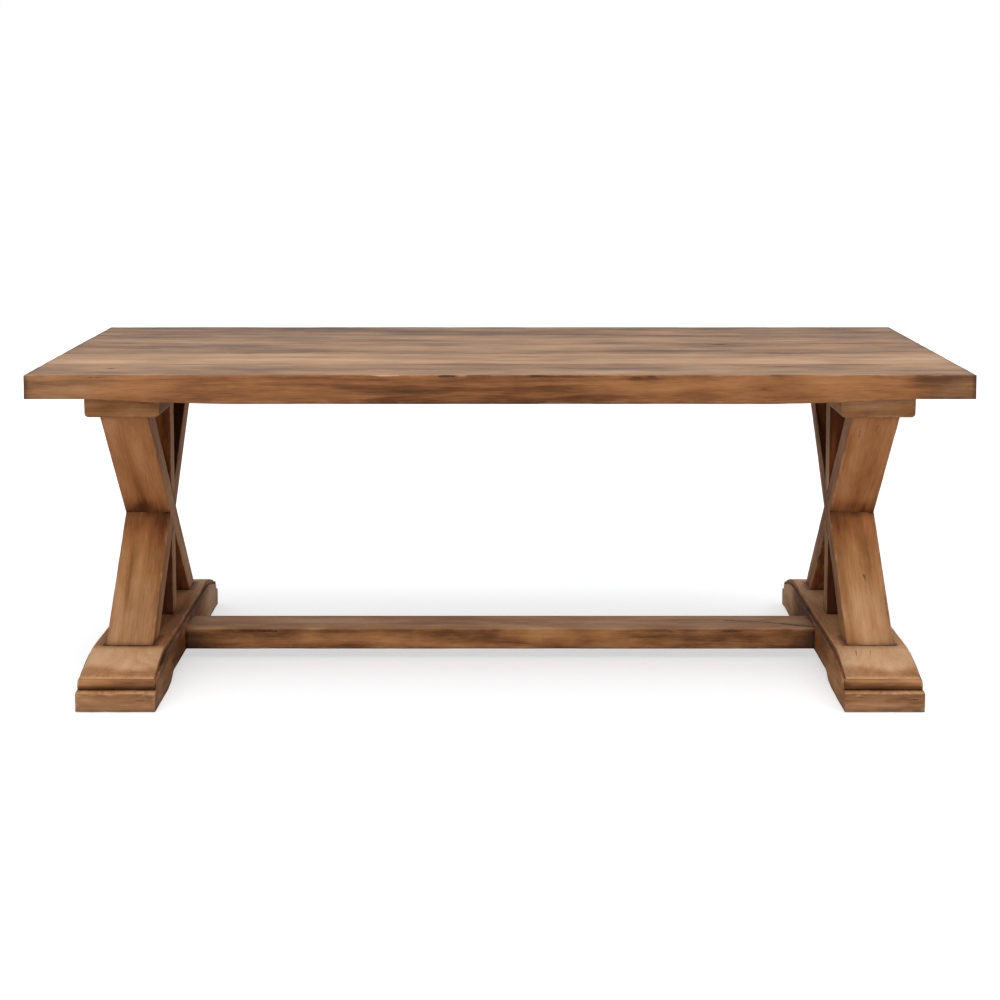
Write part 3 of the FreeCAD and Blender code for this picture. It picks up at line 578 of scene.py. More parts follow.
# cracks and knots, (start, end, half width, strength)
TOP_SPLITS = [
    (board_at(0, -0.880, -0.386, 0.762), board_at(0, -0.876, -0.388, 0.762), 0.0075, 0.7),
    (board_at(2, 0.535, 0.087, 0.762), board_at(2, 0.555, 0.087, 0.762), 0.011, 0.75),
    (board_at(0, -0.283, -0.446, 0.762), board_at(0, -0.240, -0.441, 0.762), 0.0045, 0.55),
    (board_at(0, -0.240, -0.441, 0.762), board_at(0, -0.208, -0.415, 0.762), 0.0045, 0.5),
    (board_at(0, -0.282, -0.5, 0.7600), board_at(0, -0.226, -0.5, 0.7598), 0.0009, 0.6),
    (board_at(0, -0.136, -0.5, 0.7590), board_at(0, -0.090, -0.5, 0.7586), 0.0012, 0.8),
    (board_at(0, 0.064, -0.5, 0.7592), board_at(0, 0.104, -0.5, 0.7590), 0.0010, 0.7),
    (board_at(0, 0.292, -0.5, 0.7555), board_at(0, 0.308, -0.5, 0.7550), 0.0024, 0.4),
    (board_at(0, 0.326, -0.5, 0.7580), board_at(0, 0.340, -0.5, 0.7575), 0.0018, 0.4),
    (board_at(0, 0.576, -0.5, 0.7305), board_at(0, 0.590, -0.5, 0.7310), 0.0014, 0.5),
    (board_at(0, -0.906, -0.5, 0.7565), board_at(0, -0.899, -0.5, 0.7568), 0.0016, 0.6),
    (board_at(0, -0.890, -0.5, 0.7562), board_at(0, -0.884, -0.5, 0.7560), 0.0014, 0.55),
    # drying checks in the ends of the boards
    (board_at(0, 1.05, -0.43, 0.730), board_at(0, 1.05, -0.40, 0.748), 0.0011, 0.9),
    (board_at(1, 1.05, -0.22, 0.762), board_at(1, 1.05, -0.212, 0.736), 0.0010, 0.9),
    (board_at(3, 1.05, 0.19, 0.720), board_at(3, 1.05, 0.215, 0.742), 0.0010, 0.9),
    (board_at(4, 1.05, 0.36, 0.762), board_at(4, 1.05, 0.372, 0.739), 0.0011, 0.9),
    (board_at(2, -1.05, 0.02, 0.762), board_at(2, -1.05, 0.012, 0.738), 0.0011, 0.9),
    (board_at(1, -1.05, -0.18, 0.724), board_at(1, -1.05, -0.21, 0.744), 0.0010, 0.9),
    (board_at(4, -1.05, 0.43, 0.742), board_at(4, -1.05, 0.40, 0.728), 0.0011, 0.9),
]
FRAME_SPLITS = [
    (stretcher_at(-0.634, -0.065, 0.0730), stretcher_at(-0.590, -0.065, 0.0738), 0.0018, 0.5),
    (stretcher_at(-0.590, -0.065, 0.0738), stretcher_at(-0.548, -0.065, 0.0722), 0.0026, 0.85),
    (stretcher_at(0.560, 0.012, 0.080), stretcher_at(0.640, 0.000, 0.080), 0.0060, 0.55),
    (stretcher_at(0.640, 0.000, 0.080), stretcher_at(0.700, -0.022, 0.080), 0.0060, 0.65),
    (stretcher_at(0.700, -0.022, 0.080), stretcher_at(0.760, -0.045, 0.080), 0.0075, 0.85),
    (stretcher_at(0.545, -0.065, 0.0730), stretcher_at(0.590, -0.065, 0.0728), 0.0030, 0.6),
    (stretcher_at(0.415, -0.065, 0.0715), stretcher_at(0.421, -0.065, 0.0715), 0.0030, 0.55),
    (stretcher_at(0.520, -0.065, 0.0480), stretcher_at(0.600, -0.065, 0.0470), 0.0022, 0.35),
    (base_board_at(1, 0.821, -0.350), base_board_at(1, 0.815, -0.392), 0.0010, 0.85),
    (base_board_at(1, 0.854, -0.352), base_board_at(1, 0.848, -0.386), 0.0009, 0.7),
    (base_board_at(1, 0.914, -0.372), base_board_at(1, 0.911, -0.402), 0.0009, 0.75),
    (leg_at(1, 0.869, 0.238), leg_at(1, 0.870, 0.228), 0.0036, 0.6),
    (leg_at(1, 0.870, 0.232), leg_at(1, 0.8695, 0.200), 0.0008, 0.6),
    (leg_at(1, 0.910, 0.196), leg_at(1, 0.912, 0.158), 0.0009, 0.75),
    (leg_at(1, 0.832, 0.605), leg_at(1, 0.833, 0.588), 0.0010, 0.8),
    (leg_at(1, 0.871, 0.622), leg_at(1, 0.868, 0.604), 0.0011, 0.8),
    (block_at(-1, -0.945, 0.0425), block_at(-1, -0.925, 0.0405), 0.0010, 0.8),
    (block_at(-1, -0.814, 0.0285), block_at(-1, -0.798, 0.0280), 0.0007, 0.6),
    (block_at(1, 0.795, 0.0360), block_at(1, 0.812, 0.0350), 0.0008, 0.7),
    (block_at(1, 0.914, 0.0300), block_at(1, 0.936, 0.0310), 0.0009, 0.7),
]


HONEY = [
    (0.05, (0.050, 0.018, 0.007)),
    (0.27, (0.130, 0.050, 0.018)),
    (0.45, (0.270, 0.116, 0.042)),
    (0.60, (0.370, 0.172, 0.066)),
    (0.80, (0.495, 0.262, 0.124)),
    (1.00, (0.620, 0.365, 0.200)),
]
EDGE = [
    (0.05, (0.045, 0.015, 0.006)),
    (0.27, (0.120, 0.042, 0.013)),
    (0.45, (0.240, 0.095, 0.033)),
    (0.60, (0.330, 0.143, 0.054)),
    (0.80, (0.442, 0.215, 0.096)),
    (1.00, (0.560, 0.314, 0.166)),
]
TOP = [
    (0.05, (0.060, 0.026, 0.012)),
    (0.27, (0.155, 0.075, 0.033)),
    (0.45, (0.285, 0.150, 0.070)),
    (0.60, (0.375, 0.205, 0.099)),
    (0.80, (0.485, 0.280, 0.148)),
    (1.00, (0.590, 0.360, 0.208)),
]
AGED = [
    (0.05, (0.045, 0.024, 0.014)),
    (0.27, (0.115, 0.060, 0.033)),
    (0.45, (0.225, 0.126, 0.070)),
    (0.60, (0.315, 0.185, 0.107)),
    (0.80, (0.415, 0.262, 0.160)),
    (1.00, (0.510, 0.345, 0.220)),
]
AGED_TOP = [(at, (r, g, b * (0.89 if at < 0.5 else 0.95))) for at, (r, g, b) in AGED]
STAIN = (0.46, 0.32, 0.22)
TOP_WOOD = wood(
    "top_wood", TOP, AGED_TOP, (0.58, 0.45, 0.33), share_aged=(0.44, 0.70, 0.0, 0.55),
    broad=0.95, streak=0.66, mottle=0.58, dashes=0.38, fine=0.32,
    sides=EDGE, marks=TOP_SPLITS, wide_scale=(1.9, 10, 12), mid_scale=(3.8, 27, 40),
    patch_scale=(8, 24, 30), side_contrast=0.62, smudge=0.40, specular=0.24,
)
FRAME_WOOD = wood(
    "frame_wood", HONEY, AGED, STAIN, share_aged=(0.44, 0.70, 0.0, 0.42), broad=0.8,
    streak=0.42, mottle=0.8, edge_dark=0.35, edge_light=0.6, rough=(0.56, 0.70),
    specular=0.09, marks=FRAME_SPLITS, smudge=0.36, side_contrast=0.45,
)


# ------------------------------------------------------------------ tabletop
BOARDS = [
    ("top_board_front", -0.4, (0.03, -0.11), 0.02),
    ("top_board_front_inner", -0.2, (-0.05, -0.09), 0.20),
    ("top_board_middle", 0.0, (0.07, 0.14), 0.01),
    ("top_board_rear_inner", 0.2, (-0.02, -0.16), -0.02),
    ("top_board_rear", 0.4, (0.06, -0.10), -0.14),
]
# darker blotches on the top, as (x, y, length, width, strength)
TOP_MARKS = [
    (-0.216, 0.351, 0.075, 0.075, -0.13),
    (0.546, 0.066, 0.080, 0.060, -0.13),
    (0.545, 0.090, 0.022, 0.012, -0.22),
    (-0.777, -0.229, 0.060, 0.050, -0.14),
    (-0.052, -0.313, 0.100, 0.040, -0.13),
    (0.281, -0.309, 0.055, 0.042, -0.12),
    (0.808, -0.285, 0.062, 0.070, -0.13),
    (-0.880, -0.386, 0.010, 0.012, -0.30),
    (-1.035, -0.040, 0.022, 0.050, -0.14),
    (-0.896, 0.012, 0.085, 0.014, -0.13),
    (-0.621, 0.066, 0.150, 0.022, -0.12),
    (0.0, 0.500, 1.400, 0.030, -0.06),
    (0.420, -0.020, 0.120, 0.020, 0.06),
    (-0.420, -0.250, 0.140, 0.045, 0.07),
    (0.620, -0.340, 0.160, 0.060, 0.05),
    (-0.250, 0.180, 0.160, 0.030, 0.06),
]
# and on the front edge, as (x, z, length, height, strength)
EDGE_MARKS = [
    (-0.600, 0.722, 0.110, 0.007, -0.22),
    (-0.203, 0.728, 0.120, 0.006, -0.20),
    (0.141, 0.730, 0.045, 0.006, -0.18),
    (-0.270, 0.734, 0.200, 0.060, -0.08),
    (0.138, 0.762, 0.090, 0.006, -0.25),
    (0.300, 0.755, 0.020, 0.006, -0.22),
    (0.335, 0.757, 0.014, 0.005, -0.22),
    (0.888, 0.749, 0.028, 0.010, 0.12),
    (0.985, 0.735, 0.095, 0.060, -0.25),
    (-1.030, 0.735, 0.080, 0.060, -0.06),
    (0.000, 0.700, 0.900, 0.014, -0.09),
    (0.560, 0.735, 0.280, 0.060, 0.05),
    (-0.680, 0.745, 0.330, 0.060, 0.09),
    (-0.040, 0.735, 0.210, 0.060, -0.10),
    (0.690, 0.748, 0.065, 0.012, 0.10),
    (0.585, 0.731, 0.030, 0.006, -0.14),
    (0.290, 0.752, 0.040, 0.004, -0.12),
    (0.425, 0.722, 0.060, 0.008, -0.10),
    (0.500, 0.746, 0.050, 0.008, 0.08),
]


def board_tone(base, chips):
    def tone_and_shading(p, n):
        on_top = smooth(0.5, 0.9, n[:, 2])
        in_front = smooth(-0.490, -0.498, p[:, 1]) * (1 - on_top)
        return (
            base
            + spots(p, TOP_MARKS) * on_top
            + spots(p[:, [0, 2]], EDGE_MARKS) * in_front
            - 0.02 * in_front
            - 0.22 * smooth(1.0450, 1.0490, np.abs(p[:, 0])) * in_front
            - 0.14 * smooth(1.0400, 1.0475, np.abs(p[:, 0])) * on_top
            + (0.45 * chip_paint(p, n)[0] if chips else 0.0)
        )

    return tone_and_shading


# missing slivers: (middle x, half length, down the face, into the top, depth)
CHIPS = [
    (-0.253, 0.032, 0.0016, 0.0120, 0.0034),
    (-0.112, 0.028, 0.0040, 0.0012, 0.0028),
    (0.082, 0.026, 0.0028, 0.0009, 0.0016),
    (-0.086, 0.014, 0.0026, 0.0024, 0.0014),
    (0.610, 0.018, 0.0022, 0.0026, 0.0012),
]


def chipped(x, chip):
    at, half, *_ = chip
    s = np.clip(np.abs(x - at) / half, 0, 1)
    ragged = 0.75 + 0.5 * value_noise(np.stack([x * 110, x * 0, x * 0], 1), (1, 1, 1), 3)
    return (1 - s**2.2) * ragged


def front_dents(p):
    """How far the slivers take the front board's upper front arris back."""
    out = np.zeros_like(p)
    back, down = p[:, 1] + 0.5, TOP_Z - p[:, 2]
    for chip in CHIPS:
        _, _, tall, wide, deep = chip
        here = chipped(p[:, 0], chip) * np.exp(-((back / wide) ** 2) - (down / tall) ** 2)
        out[:, 1] += here * deep * min(1.0, tall / wide)
        out[:, 2] -= here * deep * min(1.0, wide / tall)
    return out


def chip_paint(p, n):
    """Pale wood in the first and fourth chips, painted shade in the gouges of the others."""
    back, down = p[:, 1] + 0.5, TOP_Z - p[:, 2]
    pale, gouge_shade = 0.0, 0.0
    for k, chip in enumerate(CHIPS):
        _, _, tall, wide, deep = chip
        here = chipped(p[:, 0], chip) * np.exp(
            -((back / (wide + 0.002)) ** 2) - (down / (tall + 0.001)) ** 2
        )
        if k in (0, 3):
            pale = pale + here
        else:
            gouge_shade = gouge_shade + here
    return np.clip(pale, 0, 1), np.clip(gouge_shade, 0, 1)


def upright(p, n):
    """1 on the boards' upright and lower faces, a little less at the front corners."""
    x = p[:, 0]
    pale = 0.45 * (smooth(-0.80, -0.98, x) + smooth(0.90, 1.0, x)) * (p[:, 1] < -0.49)
    return (n[:, 2] < 0.75) * (1.0 - pale)


def board_hue(p, n):
    in_front = smooth(-0.490, -0.498, p[:, 1]) * (n[:, 2] < 0.75)
    return in_front * 0.35 * smooth(0.80, 0.95, p[:, 0])


for k, (name, yc, pith, base) in enumerate(BOARDS):
    bm = cad_solid(name)

    def outside(a, b, yc=yc):
        m = (a + b) / 2
        if abs(abs(m.x) - 1.05) < 1e-4 and abs(a.x - b.x) < 1e-4:
            return (b - a).length > 0.03
        if abs(a.x - b.x) < 0.05:
            return False
        on_side = abs(abs(m.y - yc) - 0.1) < 1e-4
        return on_side and (m.z > 0.7615 or m.z < 0.7085)

    lines = round_arrises(bm, 0.0022 if k in (0, 4) else 0.0018, outside)
    slice_up(bm, X, even(-1.05, 1.05, 0.012))
    slice_up(bm, Y, even(yc - 0.1, yc + 0.1, 0.0125))
    slice_up(bm, Z, even(0.708, 0.762, 0.009))
    front = k == 0
    if front:
        for at, half, *_ in CHIPS:
            slice_up(bm, X, even(at - half - 0.002, at + half + 0.002, 0.0032))
        slice_up(bm, Y, [-0.4955, -0.4930, -0.4900, -0.4840])
        slice_up(bm, Z, [0.7585, 0.7568])
    # the front board's chips get painted shade in their gouges, and two of them pale wood
    finish_piece(
        bm, name, (X, Y, Z), (0, yc, 0.735), pith, lines,
        k + 1, 0.0009, (lambda p, n: chip_paint(p, n)[1]) if front else none,
        board_tone(base, front), TOP_WOOD, side=upright,
        dents=front_dents if front else None, hue_and_shading=board_hue,
    )

# ------------------------------------------------------------------ trestles
# streaks on the legs' outer faces, as (x, z, width, height, strength)
LEG_MARKS = [
    (-0.868, 0.440, 0.008, 0.052, -0.17),
    (-0.856, 0.402, 0.007, 0.034, -0.15),
    (-0.872, 0.382, 0.036, 0.014, -0.13),
    (-0.902, 0.349, 0.010, 0.016, -0.12),
    (-0.832, 0.346, 0.022, 0.020, -0.14),
    (-0.885, 0.520, 0.020, 0.060, -0.05),
    (-0.835, 0.560, 0.012, 0.070, -0.05),
    (-0.900, 0.580, 0.030, 0.060, -0.06),
    (-0.880, 0.265, 0.012, 0.075, -0.12),
    (-0.893, 0.335, 0.018, 0.016, -0.10),
    (-0.874, 0.347, 0.012, 0.008, -0.10),
    (-0.840, 0.230, 0.022, 0.100, 0.05),
    (0.866, 0.430, 0.010, 0.060, -0.14),
    (0.852, 0.383, 0.034, 0.013, -0.15),
    (0.866, 0.606, 0.005, 0.028, -0.14),
    (0.828, 0.341, 0.018, 0.018, -0.13),
    (0.890, 0.480, 0.012, 0.060, -0.07),
    (0.832, 0.500, 0.014, 0.080, 0.04),
    (0.880, 0.300, 0.014, 0.050, -0.10),
    (0.845, 0.190, 0.022, 0.080, 0.05),
]
ANGLE = math.atan(SLOPE)


def near(x, at, reach):
    return np.exp(-(((x - at) / reach) ** 2))


for prefix, cx, side in (("left", -TRESTLE_X, -1), ("right", TRESTLE_X, 1)):
    seed = 20 if side < 0 else 40

    # cap
    bm = cad_solid(prefix + "_top_cap")

    def cap_edge(a, b, cx=cx):
        m = (a + b) / 2
        if abs(abs(m.y) - 0.36) < 1e-4 and abs(a.y - b.y) < 1e-4:
            return True
        long_one = abs(a.y - b.y) > 0.1
        return long_one and abs(abs(m.x - cx) - 0.0855) < 1e-4 and m.z > 0.70

    lines = round_arrises(bm, 0.0016, cap_edge, angle=30)
    slice_up(bm, Y, even(-0.36, 0.36, 0.012))
    slice_up(bm, X, [cx + s for s in even(-0.0855, 0.0855, 0.012)])
    slice_up(bm, Z, even(CAP_Z, UNDER_Z, 0.009))
    # a painted shadow of the tabletop darkens the cap along its top
    finish_piece(
        bm, prefix + "_top_cap", (Y, X, Z), (cx, 0, 0.677),
        (0.03, 0.09), lines, seed + 1, 0.001,
        lambda p, n: 0.75 * np.exp(-(UNDER_Z - p[:, 2]) / 0.007),
        lambda p, n: 0.06 * smooth(0.5, 0.9, np.abs(n[:, 1])) - 0.02, FRAME_WOOD,
        ends="streaks",
    )

    # legs
    for which, run in (("front", 1), ("rear", -1)):
        # run 1: the foot is at -Y and the leg rises towards +Y
        name = f"{prefix}_leg_{which}_foot"
        bm = cad_solid(name)
        along = (0, run * math.sin(ANGLE), math.cos(ANGLE))
        through = (0, math.cos(ANGLE), -run * math.sin(ANGLE))

        def leg_edge(a, b, cx=cx, run=run):
            m = (a + b) / 2
            if not (PLATE_Z - 1e-4 < min(a.z, b.z) and max(a.z, b.z) < CAP_Z + 1e-4):
                return False
            if abs(a.z - b.z) < 0.08:
                return False
            # the leg's own four arrises, not the lap's
            off = m.y - run * (m.z - CROSS_Z) * SLOPE
            return abs(abs(off) - 0.042) < 5e-4 and abs(abs(m.x - cx) - 0.055) < 5e-4

        lines = round_arrises(bm, 0.0024, leg_edge)
        n = Vector(along)
        base = n.z * CROSS_Z
        slice_up(bm, along, [base + s for s in even(-0.42, 0.44, 0.012)])
        slice_up(bm, X, [cx + s for s in even(-0.055, 0.055, 0.011)])
        nt = Vector(through)
        half = 0.042 * math.cos(ANGLE)
        slice_up(bm, through, [nt.z * CROSS_Z + s for s in even(-half, half, 0.0095)])
        rows = (0.003, 0.007, 0.012, 0.018, 0.026)
        slice_up(bm, Z, [PLATE_Z + s for s in rows] + [CAP_Z - s for s in rows])

        # painted shade where the leg meets the base board and the cap, and in the crease at the crossing
        def leg_shade(p, n):
            z = p[:, 2]
            flank = smooth(0.5, 0.9, np.abs(n[:, 0]))
            return (
                0.80 * np.exp(-np.maximum(z - PLATE_Z, 0) / 0.005)
                + 0.45 * np.exp(-np.maximum(CAP_Z - z, 0) / 0.007)
                + 0.60 * near(z, CROSS_Z, 0.008) * (1 - flank)
            )

        # painted light on the outer faces, most on the upper legs and near the feet, and on the flanks;
        # painted shade on the inner faces and near the crossing; with the streaks of LEG_MARKS
        def leg_tone_and_shading(p, n, side=side):
            z, y = p[:, 2], p[:, 1]
            outer = smooth(0.3, 0.6, n[:, 1] * np.sign(y))
            inner = smooth(0.3, 0.6, -n[:, 1] * np.sign(y))
            flank = smooth(0.5, 0.9, np.abs(n[:, 0]))
            upper = smooth(0.36, 0.42, z)
            return (
                outer * (0.15 * upper + 0.05 + 0.09 * smooth(0.36, 0.16, z))
                - inner * np.where(n[:, 1] < 0, np.where(z < CROSS_Z, 0.19 if side < 0 else 0.11, 0.34), 0.14)
                + 0.12 * flank
                - 0.09 * near(z, CROSS_Z, 0.040) * (1 - flank)
                - 0.01
                + outer * spots(p[:, [0, 2]], LEG_MARKS)
            )

        def leg_calm(p, n):
            outer = smooth(0.3, 0.6, n[:, 1] * np.sign(p[:, 1]))
            return outer * (0.45 + 0.45 * smooth(0.36, 0.42, p[:, 2]))

        # deep red painted shade on the inner faces, a little on the flanks; the outer faces redder above and
        # greyer below
        def leg_hue_and_shading(p, n):
            outer = smooth(0.3, 0.6, n[:, 1] * np.sign(p[:, 1]))
            flank = smooth(0.5, 0.9, np.abs(n[:, 0]))
            low = smooth(0.34, 0.18, p[:, 2])
            return outer * (-0.92 + 1.12 * low) - 0.95 * (1 - outer) * (1 - flank) - 0.30 * flank

        finish_piece(
            bm, name, (along, X, through), (cx, 0, CROSS_Z),
            (0.02 * run, 0.07), lines, seed + (2 if run > 0 else 3), 0.0012,
            leg_shade, leg_tone_and_shading, FRAME_WOOD, side=leg_calm, hue_and_shading=leg_hue_and_shading,
        )

    # posts
    for part in ("upper", "lower"):
        name = f"{prefix}_post_{part}"
        bm = cad_solid(name)

        def post_edge(a, b, cx=cx):
            m = (a + b) / 2
            return (
                abs(a.z - b.z) > 0.05
                and abs(abs(m.y) - 0.027) < 1e-4
                and abs(abs(m.x - cx) - 0.055) < 1e-4
            )

        lines = round_arrises(bm, 0.002, post_edge)
        lo, hi = (0.40, CAP_Z) if part == "upper" else (PLATE_Z, 0.33)
        slice_up(bm, Z, even(lo, hi, 0.012))
        slice_up(bm, X, [cx + s for s in even(-0.055, 0.055, 0.011)])
        slice_up(bm, Y, even(-0.027, 0.027, 0.009))
        # painted shade where the post meets the base board and the cap and near the crossing; the wide faces
        # are painted dark and deep red as shade, most on the front
        finish_piece(
            bm, name, (Z, X, Y), (cx, 0, CROSS_Z),
            (0.04, 0.08), lines, seed + (4 if part == "upper" else 5), 0.001,
            lambda p, n: 0.8 * np.exp(-np.maximum(p[:, 2] - PLATE_Z, 0) / 0.008)
            + 0.5 * np.exp(-np.maximum(CAP_Z - p[:, 2], 0) / 0.010)
            + 0.3 * near(p[:, 2], CROSS_Z, 0.04),
            lambda p, n: 0.16
            - smooth(0.4, 0.8, np.abs(n[:, 1]))
            * np.where(n[:, 1] < 0, np.where(p[:, 0] < 0, 0.38, 0.53), 0.18),
            FRAME_WOOD, hue_and_shading=lambda p, n: -1.3 * smooth(0.4, 0.8, np.abs(n[:, 1])),
        )

    # base board
    name = prefix + "_base_board"
    bm = cad_solid(name)

    def plate_edge(a, b, cx=cx):
        m = (a + b) / 2
        if abs(m.y) > 0.471 and abs(a.y - b.y) < 1e-4:
            return True
        return abs(abs(m.x - cx) - 0.0835) < 1e-4 and m.z > 0.070 + 0.0

    lines = round_arrises(bm, 0.0022, plate_edge, angle=40)
    slice_up(bm, Y, even(-0.472, 0.472, 0.011))
    slice_up(bm, X, [cx + s for s in even(-0.0835, 0.0835, 0.012)])

    # painted shade around the legs' feet and along the foot of the plate's sides
    def plate_shade(p, n, cx=cx):
        y = np.abs(p[:, 1])
        x = np.abs(p[:, 0] - cx)
        foot = (np.abs(y - (0.364 - 0.105) * SLOPE) < 0.046) & (x < 0.060)
        under = 0.45 * np.exp(-np.maximum(y - 0.318, 0) / 0.007) * (x < 0.062)
        joint = 0.5 * np.exp(-np.maximum(p[:, 2] - 0.092, 0) / 0.004) * (x > 0.083) * (y < 0.34)
        return np.where(foot, 0.6, 0.0) + under * (y > 0.30) + joint

    # painted light on the upper curve of the nose, its front arris and the side arrises, and on the flat top
    # to lift its shade, most at the rear and on the right trestle; the sides a little lighter
    def plate_tone_and_shading(p, n, cx=cx):
        y = np.abs(p[:, 1])
        flat = (0.36 * smooth(0.0, 0.28, p[:, 1]) + (0.36 if cx > 0 else 0.12)) * (y < 0.33)
        inner = smooth(0.5, 0.9, np.abs(n[:, 0]))
        arris = smooth(0.25, 0.5, np.abs(n[:, 0])) * smooth(0.25, 0.5, n[:, 2])
        edge_y = 0.437 + 0.010 * np.sin((p[:, 0] - cx) * 38.0 + 0.6)
        return (
            0.34 * smooth(0.32, 0.345, y) * smooth(edge_y + 0.014, edge_y - 0.014, y)
            + 0.10 * smooth(0.33, 0.35, y)
            - 0.10 * smooth(0.33, 0.30, y)
            + flat
            + 0.16 * smooth(0.4665, 0.4705, y)
        ) * (1 - inner) + 0.08 * inner + 0.20 * arris

    def plate_hue(p, n):
        y = np.abs(p[:, 1])
        return 0.22 * smooth(0.33, 0.36, y) - 0.40 * smooth(0.34, 0.32, y)

    finish_piece(
        bm, name, (Y, X, Z), (cx, 0, 0.098), (0.02, -0.12), lines,
        seed + 6, 0.0010, plate_shade, plate_tone_and_shading, FRAME_WOOD, ends="streaks",
        side=lambda p, n: np.ones(len(p)), hue_and_shading=plate_hue,
    )

    # base beam
    name = prefix + "_base_beam"
    bm = cad_solid(name)

    def beam_edge(a, b, cx=cx):
        m = (a + b) / 2
        across = abs(a.x - b.x) > 0.15
        if across:
            return not (0.30 > abs(m.y) and m.z > 0.05)
        if abs(abs(m.x - cx) - 0.09) > 1e-4 or abs(a.x - b.x) > 1e-4:
            return False
        return not (abs(m.y) < 0.10 and 0.03 < m.z < 0.085)

    lines = round_arrises(bm, 0.0016, beam_edge, angle=24)
    slice_up(bm, Y, even(-0.5, 0.5, 0.011))
    slice_up(bm, X, [cx + s for s in even(-0.09, 0.09, 0.0126)])
    slice_up(bm, Z, even(0.0015, 0.092, 0.010))

    # painted shade along the floor, in the step under the beads and on the upward faces under the base board
    def beam_shade(p, n, cx=cx):
        y, z = np.abs(p[:, 1]), p[:, 2]
        floor = 0.6 * np.exp(-np.maximum(z - 0.0015, 0) / 0.004)
        step = 0.5 * near(z, 0.046, 0.004) * smooth(0.464, 0.474, y) * smooth(0.483, 0.477, y)
        joint = 0.55 * smooth(0.5, 0.9, n[:, 2]) * (z > 0.08)
        return floor + step + joint

    # painted shade on the inner sides near the middle, painted light towards their ends, most at the rear,
    # and on the ledge under the bead; the ends a little lighter
    def beam_tone_and_shading(p, n):
        y = np.abs(p[:, 1])
        inner = smooth(0.5, 0.9, np.abs(n[:, 0]))
        end = smooth(0.5, 0.9, np.abs(n[:, 1]))
        ledge = smooth(0.5, 0.9, n[:, 2]) * smooth(0.479, 0.484, y)
        rear = smooth(0.24, 0.36, p[:, 1])
        return (
            inner * (0.17 * smooth(0.15, 0.32, y) + 0.42 * rear - 0.15)
            + 0.05 * end
            + 0.22 * ledge
        )

    # deep red painted shade on the inner sides near the middle; greyer at the rear of the inner sides and on
    # the ends
    def beam_hue_and_shading(p, n):
        inner = smooth(0.5, 0.9, np.abs(n[:, 0]))
        end = smooth(0.5, 0.9, np.abs(n[:, 1]))
        y = p[:, 1]
        return inner * (0.45 * smooth(0.2, 0.34, y) - 0.9 * smooth(0.30, 0.15, np.abs(y))) + 0.35 * end

    finish_piece(
        bm, name, (Y, X, Z), (cx, 0, 0.045), (0.01, -0.16), lines,
        seed + 7, 0.0009, beam_shade, beam_tone_and_shading, FRAME_WOOD, ends="streaks",
        hue_and_shading=beam_hue_and_shading,
    )

    # half-round beads
    name = prefix + "_base_beads"
    bm = cad_solid(name)

    def bead_edge(a, b, cx=cx):
        m = (a + b) / 2
        return abs(abs(m.x - cx) - 0.0875) < 1e-4 and abs(a.x - b.x) < 1e-4

    lines = round_arrises(bm, 0.0012, bead_edge, angle=40)
    slice_up(bm, X, [cx + s for s in even(-0.0875, 0.0875, 0.010)])
    slice_up(bm, Z, even(0.046, 0.070, 0.0024))
    # painted shade on the bead's lower half and painted light along its top
    finish_piece(
        bm, name, (X, Y, Z), (cx, 0, 0.058), (0.3, -0.08), lines,
        seed + 8, 0.0008,
        lambda p, n: 0.58 * smooth(0.0600, 0.0545, p[:, 2]),
        lambda p, n: 0.16 * smooth(0.0625, 0.0685, p[:, 2]) - 0.06, FRAME_WOOD,
        side=lambda p, n: np.full(len(p), 0.4),
    )

# ----------------------------------------------------------------- stretcher
bm = cad_solid("stretcher")


def stretcher_edge(a, b, upper):
    m = (a + b) / 2
    return (
        abs(a.x - b.x) > 1.0
        and abs(abs(m.y) - 0.065) < 1e-4
        and (m.z > 0.054) == upper
    )


STRETCHER_MARKS = [
    (-0.180, 0.020, 0.150, 0.050, -0.16),
    (-0.620, 0.000, 0.110, 0.060, -0.10),
    (-0.440, -0.062, 0.026, 0.006, 0.25),
    (0.520, 0.010, 0.170, 0.030, -0.06),
    (0.300, -0.020, 0.200, 0.050, 0.04),
]


# painted light on the top face, with its blotches; the front and back faces painted darker, most towards the
# ends
def stretcher_tone_and_shading(p, n):
    top = smooth(0.45, 0.9, n[:, 2])
    face = smooth(0.5, 0.9, np.abs(n[:, 1]))
    dim = smooth(0.62, 0.74, np.abs(p[:, 0]))
    return top * (0.34 + spots(p, STRETCHER_MARKS)) - (0.05 + 0.07 * dim) * face - 0.02


# painted shade at the ends where the stretcher meets the beams, and along its bottom edge
def stretcher_shade(p, n):
    x, z = np.abs(p[:, 0]), p[:, 2]
    shade = 0.48 * np.exp(-np.maximum(0.771 - x, 0) / 0.022)
    shade = shade + 0.50 * smooth(0.64, 0.75, x) * smooth(0.078, 0.068, z)
    return shade + 0.5 * np.exp(-(z - 0.028) / 0.003)


top_lines = round_arrises(bm, 0.0075, lambda a, b: stretcher_edge(a, b, True), segments=5)
lines = top_lines + round_arrises(bm, 0.003, lambda a, b: stretcher_edge(a, b, False))
slice_up(bm, X, even(-0.771, 0.771, 0.011))
slice_up(bm, Y, even(-0.065, 0.065, 0.011))
slice_up(bm, Z, even(0.028, 0.080, 0.009))
# painted grey sheen on the stretcher's top face; the front and back faces more saturated towards the ends
finish_piece(
    bm, "stretcher", (X, Y, Z), (0, 0, 0.054), (0.03, -0.06), lines,
    11, 0.0012, stretcher_shade, stretcher_tone_and_shading, FRAME_WOOD,
    hue_and_shading=lambda p, n: 0.30 * smooth(0.45, 0.9, n[:, 2])
    - 0.4 * smooth(0.5, 0.9, np.abs(n[:, 1])) * smooth(0.60, 0.72, np.abs(p[:, 0])),
)

